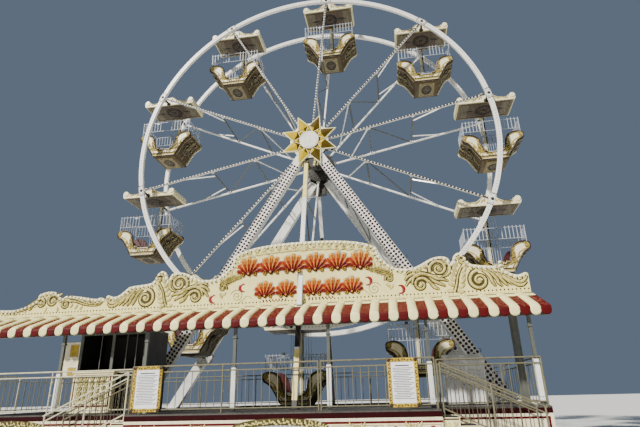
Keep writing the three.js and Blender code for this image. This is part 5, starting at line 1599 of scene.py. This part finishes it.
def make_fascia():
    """Fascia along the front, the landing and both ends, and the paint of the deck."""
    stock = Stock()
    face_y = DECK_FRONT - 0.001
    fascia_length(stock, (DECK_LEFT, face_y, 0), (1, 0, 0), LANDING_LEFT - DECK_LEFT - STAIR_SPAN)
    fascia_centrepiece(stock, 1.85)
    fascia_length(stock, (LANDING_LEFT, LANDING_FRONT, 0), (1, 0, 0), LANDING_RIGHT - LANDING_LEFT)
    fascia_centrepiece(stock, -0.18 - LANDING_LEFT)
    stock.place = face_at((LANDING_LEFT - STAIR_SPAN, face_y, 0), (1, 0, 0), (0, 0, 1))
    edge_bands(stock, STAIR_SPAN)
    stock.place = face_at((LANDING_RIGHT, face_y, 0), (1, 0, 0), (0, 0, 1))
    length = DECK_RIGHT - LANDING_RIGHT
    edge_bands(stock, length)
    for u0, u1, v0, v1, level, paint in ((0.0, length, SKIRT_BOTTOM, PANEL_TOP, 0.001, PANEL_WHITE),
                                         (length - 0.13, length - 0.08, 0.1, PANEL_TOP, 0.004, FASCIA_RED),
                                         (length - 0.075, length, PANEL_TOP, 1.0, 0.005, PANEL_WHITE),
                                         (0.0, length - 0.08, 0.05, 0.1, 0.004, FASCIA_RED)):
        plate(stock, rectangle(u0, v0, u1, v1), -0.02, level, paint)
    make("fascia_front", stock, FASCIA_PAINTS)
    stock = Stock()
    depth = DECK_REAR - DECK_FRONT - 0.03
    fascia_length(stock, (DECK_RIGHT - 0.005, DECK_FRONT + 0.03, 0), (0, 1, 0), depth, False)
    fascia_length(stock, (DECK_LEFT + 0.005, DECK_REAR, 0), (0, -1, 0), depth, False)
    make("fascia_ends", stock, FASCIA_PAINTS)
    for node in ("skirt_front", "skirt_back"):
        paint_node(node, CREAM_GLOSS)
    paint_node("base_frame", CHASSIS)
    paint_node("deck", DECK_GREY)


RIB_PITCH = 0.15
WELL_X = 2.92
WELL_Y = 0.9


def make_deck_ribs():
    """Tread ribs and joints of the floor sheets, kerbs round the well and a toe strip."""
    stock = Stock()
    z = DECK_TOP
    fields = ((DECK_LEFT, LANDING_LEFT, DECK_FRONT), (LANDING_LEFT, LANDING_RIGHT, LANDING_FRONT),
              (LANDING_RIGHT, DECK_RIGHT, DECK_FRONT))
    for x0, x1, front in fields:
        count = round((x1 - x0) / RIB_PITCH)
        for n in range(1, count):
            x = x0 + (x1 - x0) * n / count
            wide = 0.012 if n % 8 else 0.03
            section = ((x - wide, z - 0.002), (x - wide * 0.5, z + 0.006), (x + wide * 0.5, z + 0.006),
                       (x + wide, z - 0.002))
            skin(stock, [[(a, y, b) for a, b in section] for y in (front + 0.06, -WELL_Y - 0.02)])
    for y in (-WELL_Y - 0.01, WELL_Y + 0.01):
        strut(stock, (-WELL_X, y, z + 0.02), (WELL_X, y, z + 0.02), 0.05, 0.02, DARK_STEEL)
    for x in (-WELL_X, WELL_X):
        strut(stock, (x, -WELL_Y, z + 0.02), (x, WELL_Y, z + 0.02), 0.05, 0.02, DARK_STEEL, (1, 0, 0))
    strut(stock, (LANDING_LEFT + 0.02, LANDING_FRONT + 0.02, z + 0.004),
          (LANDING_RIGHT - 0.02, LANDING_FRONT + 0.02, z + 0.004), 0.012, 0.03, DARK_STEEL)
    make("deck_ribs", stock, [DECK_GREY, DARK_STEEL])


make_fascia()
make_deck_ribs()


# Steps and railings

STEP_RISE = DECK_TOP / (STEP_COUNT + 1)
STEP_FRONT = LANDING_FRONT + 0.06


def make_steps():
    """Closed boxes with rubber treads, and dark red lines and small scrolls on their cream faces."""
    rise, front = STEP_RISE, STEP_FRONT
    rear = front + STEP_WIDTH
    for s, start, hand in ((-1, LANDING_LEFT - 0.0003, "left"), (1, LANDING_RIGHT + 0.0003, "right")):
        stock = Stock()
        for n in range(STEP_COUNT):
            x0, x1 = sorted((start + s * STEP_GOING * n, start + s * STEP_GOING * (n + 1)))
            top = DECK_TOP - rise * (n + 1)
            plank(stock, (x0 + 0.004, front + 0.004, 0.01), (x1 - 0.004, rear - 0.004, top), 0.006,
                  CREAM_GLOSS)
            tread_end = (x1 - 0.002, rear - 0.05, top + 0.004)
            plank(stock, (x0 + 0.015, front + 0.05, top - 0.004), tread_end, 0.002, TREAD_BLACK)
            nose = (x1 if s > 0 else x0) - s * 0.012
            strut(stock, (nose, front + 0.05, top - 0.008), (nose, rear - 0.05, top - 0.008), 0.02, 0.02,
                  DARK_STEEL, (0, 0, 1))
            stock.place = face_at((0, front + 0.004, 0), *FRONT)
            u = (x0 + x1) / 2
            edge = [(x0 + 0.03, top - 0.035), (x1 - 0.03, top - 0.035)]
            ridge(stock, edge, 0.035, 0.008, BAND_RED)
            ridge(stock, [(x0 + 0.03, 0.05), (x1 - 0.03, 0.05)], 0.022, 0.008, BAND_RED)
            if top > 0.3:
                for t in (-1, 1):
                    path = volute(u + t * 0.07, top - 0.13, 0.06, 90 - t * 60, -t * 460, 0.15, 16)
                    ridge(stock, path, taper(0.03, 0.4), 0.012, OLIVE_GOLD)
                    leaf(stock, u, top - 0.2, 90 - t * 70, 0.12, 0.045, t * 40, 0.014, OLIVE_GOLD)
            stock.place = Matrix.Identity(4)
        make(f"steps_{hand}_boxes", stock, [CREAM_GLOSS, OLIVE_GOLD, TREAD_BLACK, BAND_RED, DARK_STEEL],
             stands_for=(f"steps_{hand}",))


BAY_WIDTH = 2.3
POST_RADIUS = 0.021
RAIL_RADIUS = 0.017
BAR_RADIUS = 0.0095
STAIR_DROP = 0.09
STAIR_LOW_RAIL = 0.04
FENCE_LEFT = -9.79
FENCE_RIGHT = 6.04
FENCE_FRONT = -4.04
FENCE_REAR = 2.64
FENCE_LANDING = LANDING_FRONT + 0.095
FENCE_GAP = 0.06


def rail_panel(stock, start, end, pitch):
    """A welded panel: twin top rails, a foot rail, round bars between and posts on foot plates."""
    start, end = Vector((*start, DECK_TOP)), Vector((*end, DECK_TOP))
    length = (end - start).length
    along = (end - start).normalized()

    def at(distance, height):
        """A point over the foot of the panel."""
        return start + along * distance + Vector((0, 0, height))

    for height, thick in ((TOP_RAIL, POST_RADIUS), (UPPER_RAIL, RAIL_RADIUS), (LOW_RAIL, RAIL_RADIUS)):
        tube(stock, [at(0, height), at(length / 2, height), at(length, height)], thick)
    bays = max(1, round(length / BAY_WIDTH))
    count = max(2, round(length / bays / pitch))
    for bay in range(bays + 1):
        x = length * bay / bays
        tube(stock, [at(x, 0.001), at(x, TOP_RAIL)], POST_RADIUS)
        tube(stock, [at(x, TOP_RAIL), at(x, TOP_RAIL + 0.012)], 0.016)
        foot = at(x, 0.0)
        plank(stock, foot + Vector((-0.045, -0.035, 0.001)), foot + Vector((0.045, 0.035, 0.012)), 0.002)
        if bay < bays:
            for n in range(1, count):
                d = x + length / bays * n / count
                # The bars take the darker khaki, partly painted shade.
                tube(stock, [at(d, LOW_RAIL), at(d, UPPER_RAIL)], BAR_RADIUS, 6, RAIL_KHAKI_AND_PAINTED_SHADE)
            for height in (0.5, 0.85):
                tube(stock, [at(x + 0.02, height), at(x + 0.045, height)], 0.012, 6)


def make_rails():
    """Fences round the deck and the landing, and the stair rails."""
    near, far = FENCE_FRONT + FENCE_GAP, FENCE_REAR - FENCE_GAP
    runs = {"fence_left": ((FENCE_LEFT, FENCE_FRONT), (-4.09, FENCE_FRONT), 0.16, RAIL_CREAM),
            "fence_landing_left": ((-3.99, FENCE_LANDING), (0.73, FENCE_LANDING), 0.19, RAIL_KHAKI_AND_PAINTED_SHADE),
            "fence_landing_right": ((0.79, FENCE_LANDING), (3.44, FENCE_LANDING), 0.19, RAIL_KHAKI_AND_PAINTED_SHADE),
            "fence_right": ((3.56, FENCE_FRONT), (FENCE_RIGHT, FENCE_FRONT), 0.19, RAIL_KHAKI_AND_PAINTED_SHADE),
            "fence_end_left": ((FENCE_LEFT, near), (FENCE_LEFT, far), 0.3, RAIL_CREAM),
            "fence_end_right": ((FENCE_RIGHT, near), (FENCE_RIGHT, far), 0.3, RAIL_KHAKI_AND_PAINTED_SHADE),
            "fence_rear": ((FENCE_LEFT, FENCE_REAR), (FENCE_RIGHT, FENCE_REAR), 0.3, RAIL_KHAKI_AND_PAINTED_SHADE)}
    for node, (start, end, pitch, paint) in runs.items():
        stock = Stock()
        rail_panel(stock, start, end, pitch)
        make(node + "_panel", stock, [paint, RAIL_KHAKI_AND_PAINTED_SHADE], stands_for=(node,))
    run = STEP_GOING * STEP_COUNT
    slope = (DECK_TOP - STEP_RISE) / run
    for s, start_x, hand, paint in ((-1, LANDING_LEFT, "left", RAIL_CREAM),
                                    (1, LANDING_RIGHT, "right", RAIL_KHAKI_AND_PAINTED_SHADE)):
        for y, side in ((STEP_FRONT + 0.042, "front"), (STEP_FRONT + STEP_WIDTH - 0.042, "rear")):
            stock = Stock()

            def at(distance, height):
                """A point over the slope of the stair."""
                return (start_x + s * distance, y, DECK_TOP + height - slope * distance)

            for height, thick in ((TOP_RAIL - STAIR_DROP, POST_RADIUS),
                                  (UPPER_RAIL - STAIR_DROP, RAIL_RADIUS), (STAIR_LOW_RAIL, RAIL_RADIUS)):
                tube(stock, [at(0.05, height), at(run / 2, height), at(run - 0.06, height)], thick)
            for n in range(13):
                d = 0.06 + (run - 0.16) * n / 12
                if n % 6 == 0:
                    tread = DECK_TOP - STEP_RISE * (int(d / STEP_GOING) + 1)
                    top = at(d, TOP_RAIL - STAIR_DROP)
                    tube(stock, [(top[0], y, tread + 0.001), top], POST_RADIUS)
                else:
                    top = at(d, UPPER_RAIL - STAIR_DROP)
                    # The balusters take the darker paint of painted shade.
                    tube(stock, [(top[0], y, at(d, STAIR_LOW_RAIL)[2]), top], BAR_RADIUS, 6, RAIL_BARS_PAINTED_SHADE)
            # Rear stair rails take the darker khaki as painted shade.
            rail = RAIL_KHAKI_AND_PAINTED_SHADE if side == "rear" else paint
            node = f"stair_rail_{hand}_{side}"
            make(node + "_panel", stock, [rail, RAIL_BARS_PAINTED_SHADE], stands_for=(node,))


make_steps()
make_rails()


# Pay box, desk, notice boards and drive housing

STAND_Z = 1.2405
BOX_FRAMES = (-6.5, -5.5, -4.5)
BOX_SILL = 2.29
BOX_LINTEL = 3.38


def make_pay_box():
    """Window frames, roof, sill and ribs of the pay box, its inside shelf and the sign beside it."""
    stock = Stock()
    for x in BOX_FRAMES:
        plank(stock, (x - 0.045, -3.585, 1.24), (x + 0.045, -3.555, 3.45), 0.006)
    for z in (BOX_SILL, BOX_LINTEL):
        plank(stock, (-6.54, -3.58, z - 0.035), (-4.46, -3.556, z + 0.035), 0.005)
    plank(stock, (-6.56, -3.6, 3.43), (-4.44, -2.3, 3.5), 0.01)
    plank(stock, (-6.2, -3.66, 2.285), (-4.55, -3.56, 2.3), 0.004, PANEL_WHITE)
    for x in (-5.9, -5.1, -4.8):
        plank(stock, (x - 0.012, -3.54, 2.34), (x + 0.012, -3.52, 3.35), 0.003)
    for n in range(5):
        z = 1.45 + 0.17 * n
        plank(stock, (-6.42, -3.566, z), (-4.58, -3.56, z + 0.012), 0.002, POST_GREY)
    plank(stock, (-6.3, -2.6, 2.0), (-4.7, -2.45, 2.06), 0.008, DARK_ROOM)
    for x in (-6.0, -5.2):
        plank(stock, (x - 0.14, -2.75, 2.06), (x + 0.14, -2.6, 2.4), 0.015, DARK_ROOM)
    make("pay_box_frames", stock, [POST_GREY, DARK_ROOM, PANEL_WHITE])
    paint_node("pay_box", DARK_ROOM)
    stock = Stock()
    plank(stock, (-7.04, -3.542, 2.2), (-6.56, -3.516, 3.18), 0.004, PANEL_WHITE)
    stock.place = face_at((0, -3.542, 0), *FRONT)
    for low, high in ((2.78, 3.1), (2.26, 2.46)):
        plate(stock, rectangle(-6.86, low, -6.62, high), 0.0, 0.004, BOARD_YELLOW)
        border(stock, rectangle(-6.87, low - 0.01, -6.61, high + 0.01), 0.012, 0.006, POST_GREY)
    for n in range(4):
        ridge(stock, [(-6.98, 2.7 - 0.05 * n), (-6.66, 2.7 - 0.05 * n)], 0.008, 0.003, POST_GREY)
    make("pay_box_sign", stock, [POST_GREY, PANEL_WHITE, BOARD_YELLOW])


DESK_LEFT = -6.4
DESK_RIGHT = -5.2


def make_desk():
    """Cream desk with red lines and gold carving on its face."""
    stock = Stock()
    plank(stock, (DESK_LEFT, -3.9, STAND_Z), (DESK_RIGHT, -3.7, 2.29), 0.006)
    plank(stock, (-6.44, -3.93, 2.28), (-5.16, -3.69, 2.335), 0.012, PANEL_WHITE)
    plank(stock, (-6.43, -3.92, STAND_Z), (-5.17, -3.69, 1.34), 0.008, PANEL_WHITE)
    stock.place = face_at((0, -3.901, 0), *FRONT)
    for inset, paint, width in ((0.06, FASCIA_RED, 0.06), (0.12, DARK_OLIVE_AND_PAINTED_SHADOW, 0.02)):
        frame_line = rectangle(DESK_LEFT + inset, 1.36 + inset, DESK_RIGHT - inset, 2.27 - inset)
        border(stock, frame_line, width, 0.008, paint)
    for column in range(5):
        u = -6.16 + column * 0.18
        for n in range(5):
            v = 1.56 + n * 0.13
            for s in (-1, 1):
                # Each gold leaf lies on a wider dark olive copy, a painted shadow.
                leaf(stock, u, v, 90 - s * 40, 0.12, 0.07, s * 60, 0.008, DARK_OLIVE_AND_PAINTED_SHADOW, DARK_OLIVE_AND_PAINTED_SHADOW)
                leaf(stock, u, v, 90 - s * 40, 0.11, 0.04, s * 60, 0.018, OLIVE_GOLD, DARK_OLIVE_AND_PAINTED_SHADOW)
            boss(stock, u, v - 0.02, 0.022, 0.02, OLIVE_GOLD, 8)
    for u in (-6.07, -5.53):
        ridge(stock, volute(u, 2.05, 0.07, 200, 460, 0.15, 18), 0.03, 0.02, OLIVE_GOLD)
    make("pay_desk_joinery", stock, [CREAM_GLOSS, OLIVE_GOLD, PANEL_WHITE, FASCIA_RED, DARK_OLIVE_AND_PAINTED_SHADOW],
         stands_for=("pay_desk",))


NOTICE_RIM = 0.085
NOTICE_LINES = 19


def make_notices():
    """Boards in studded yellow frames, with a header band and grey rule lines on white."""
    front = FENCE_LANDING - POST_RADIUS - 0.0403
    for x0, x1, hand in ((-3.95, -3.18, "left"), (2.36, 3.06, "right")):
        stock = Stock()
        z0, z1 = DECK_TOP + 0.05, DECK_TOP + 1.12
        stock.place = face_at((0, front, 0), *FRONT)
        face = rectangle(x0 + 0.005, z0 + 0.005, x1 - 0.005, z1 - 0.005)
        plate(stock, face, -0.038, -0.016, NOTICE_WHITE)
        wide = NOTICE_RIM
        for bar in ((x0, z0, x1, z0 + wide), (x0, z1 - wide, x1, z1), (x0, z0, x0 + wide, z1),
                    (x1 - wide, z0, x1, z1)):
            plate(stock, rectangle(*bar), -0.036, -0.004, BOARD_YELLOW, ease=0.006)
        lines = [[(x, z0 + 0.04), (x, z1 - 0.04)] for x in (x0 + wide / 2, x1 - wide / 2)]
        lines += [[(x0 + 0.04, z), (x1 - 0.04, z)] for z in (z0 + wide / 2, z1 - wide / 2)]
        for line in lines:
            for k, p in enumerate(evenly(line, 0.07)):
                boss(stock, *p, 0.016, 0.002, BAND_RED if k % 2 else BROWN_TRIM_AND_PAINTED_SHADOW, 8)
                leaf(stock, *p, 45 + 90 * (k % 4), 0.05, 0.02, 40, 0.001, BROWN_TRIM_AND_PAINTED_SHADOW)
        for v in (z0 + 0.045, z1 - 0.045):
            for u in (x0 + 0.045, x1 - 0.045):
                boss(stock, u, v, 0.04, 0.003, BROWN_TRIM_AND_PAINTED_SHADOW, 12)
        stock.place = face_at((0, front + 0.016, 0), *FRONT)
        left, right = x0 + wide + 0.04, x1 - wide - 0.03
        ridge(stock, [(left + 0.06, z1 - 0.17), (right - 0.08, z1 - 0.17)], 0.032, 0.003, BAND_RED)
        for n in range(NOTICE_LINES):
            v = z1 - 0.225 - n * 0.0365
            inset = 0.05 if n % 4 == 3 else 0.0
            ridge(stock, [(left + inset, v), (right - 0.05 * (n % 3), v)], 0.021, 0.002, RULE_GREY)
        make(f"notice_{hand}_board", stock, [BOARD_YELLOW, NOTICE_WHITE, BROWN_TRIM_AND_PAINTED_SHADOW, BAND_RED, RULE_GREY],
             stands_for=(f"notice_board_{hand}",))


HOUSING_LEFT = 3.9
HOUSING_RIGHT = 4.95
HOUSING_FRONT = -2.5
LOUVRE_FRONT = -2.4
LOUVRE_REAR = -1.7


def make_drive_housing():
    """White cabinet with a rounded hood, pressed louvres and framed doors."""
    stock = Stock()
    plank(stock, (HOUSING_LEFT, HOUSING_FRONT, STAND_Z), (HOUSING_RIGHT, -1.56, 2.3), 0.02)
    hood = flow([(-2.54, 2.29), (-2.52, 2.36), (-2.4, 2.5), (-2.2, 2.56), (-1.85, 2.56), (-1.66, 2.5),
                 (-1.54, 2.36), (-1.52, 2.29)], 3)
    skin(stock, [[(x, y, z) for y, z in hood] for x in (3.88, 4.97)])
    for x in (3.96, 4.24, 4.52, 4.8):
        path = [(x + 0.02, y - 0.004, z + 0.004) for y, z in hood[1:-1]]
        tube(stock, path, 0.012, 6, LEG_WHITE)
    stock.place = face_at((0, HOUSING_FRONT, 0), *FRONT)
    for u0, u1, handle in ((3.94, 4.41, 4.36), (4.44, 4.91, 4.49)):
        border(stock, rectangle(u0, 1.3, u1, 2.24), 0.02, 0.008, LEG_WHITE)
        for n in range(8):
            v = 1.9 + 0.035 * n
            ridge(stock, [(u0 + 0.06, v), (u1 - 0.06, v)], 0.022, 0.01, LEG_WHITE)
            ridge(stock, [(u0 + 0.06, v - 0.012), (u1 - 0.06, v - 0.012)], 0.006, 0.003, DARK_STEEL)
        stud(stock, handle, 1.75, 0, 0.02, 0.03, DARK_STEEL, 10)
    for x, sign in ((HOUSING_LEFT, -1), (HOUSING_RIGHT, 1)):
        stock.place = face_at((x, 0, 0), (0, sign, 0), (0, 0, 1))
        for n in range(9):
            v = 1.6 + 0.06 * n
            louvre = [[(sign * y, level) for y in (LOUVRE_FRONT, LOUVRE_REAR)] for level in (v, v - 0.018)]
            ridge(stock, louvre[0], 0.03, 0.012, LEG_WHITE)
            ridge(stock, louvre[1], 0.008, 0.003, DARK_STEEL)
    make("drive_housing_cabinet", stock, [LEG_WHITE, DARK_STEEL], stands_for=("drive_housing",))


make_pay_box()
make_desk()
make_notices()
make_drive_housing()


# Floor and light

FLOOR_SIZE = 220
SKY_COLOUR = (0.3, 0.4, 0.56, 1)
SKY_STRENGTH = 0.38
SUN_STRENGTH = 7.2
SUN_COLOUR = (1.0, 0.96, 0.88)
SUN_HEADING = (0.5, 0.66, -0.7)


def make_stage():
    """Floor, blue sky light and sun for the pictures."""
    bpy.ops.mesh.primitive_plane_add(size=FLOOR_SIZE, location=(0, 0, -0.002))
    floor = bpy.context.object
    floor.name = "floor"
    floor.data.materials.append(coated("floor", "d9d9d6", "cfcfcb", 0.3, 0.4, 0.8))
    world = bpy.data.worlds.new("studio")
    world.use_nodes = True
    backdrop = world.node_tree.nodes["Background"]
    backdrop.inputs["Color"].default_value = SKY_COLOUR
    backdrop.inputs["Strength"].default_value = SKY_STRENGTH
    bpy.context.scene.world = world
    sun = bpy.data.lights.new("key", "SUN")
    sun.energy = SUN_STRENGTH
    sun.angle = math.radians(3)
    sun.color = SUN_COLOUR
    lamp = bpy.data.objects.new("key", sun)
    bpy.context.scene.collection.objects.link(lamp)
    lamp.rotation_mode = "QUATERNION"
    lamp.rotation_quaternion = Vector(SUN_HEADING).to_track_quat("-Z", "Y")


make_stage()
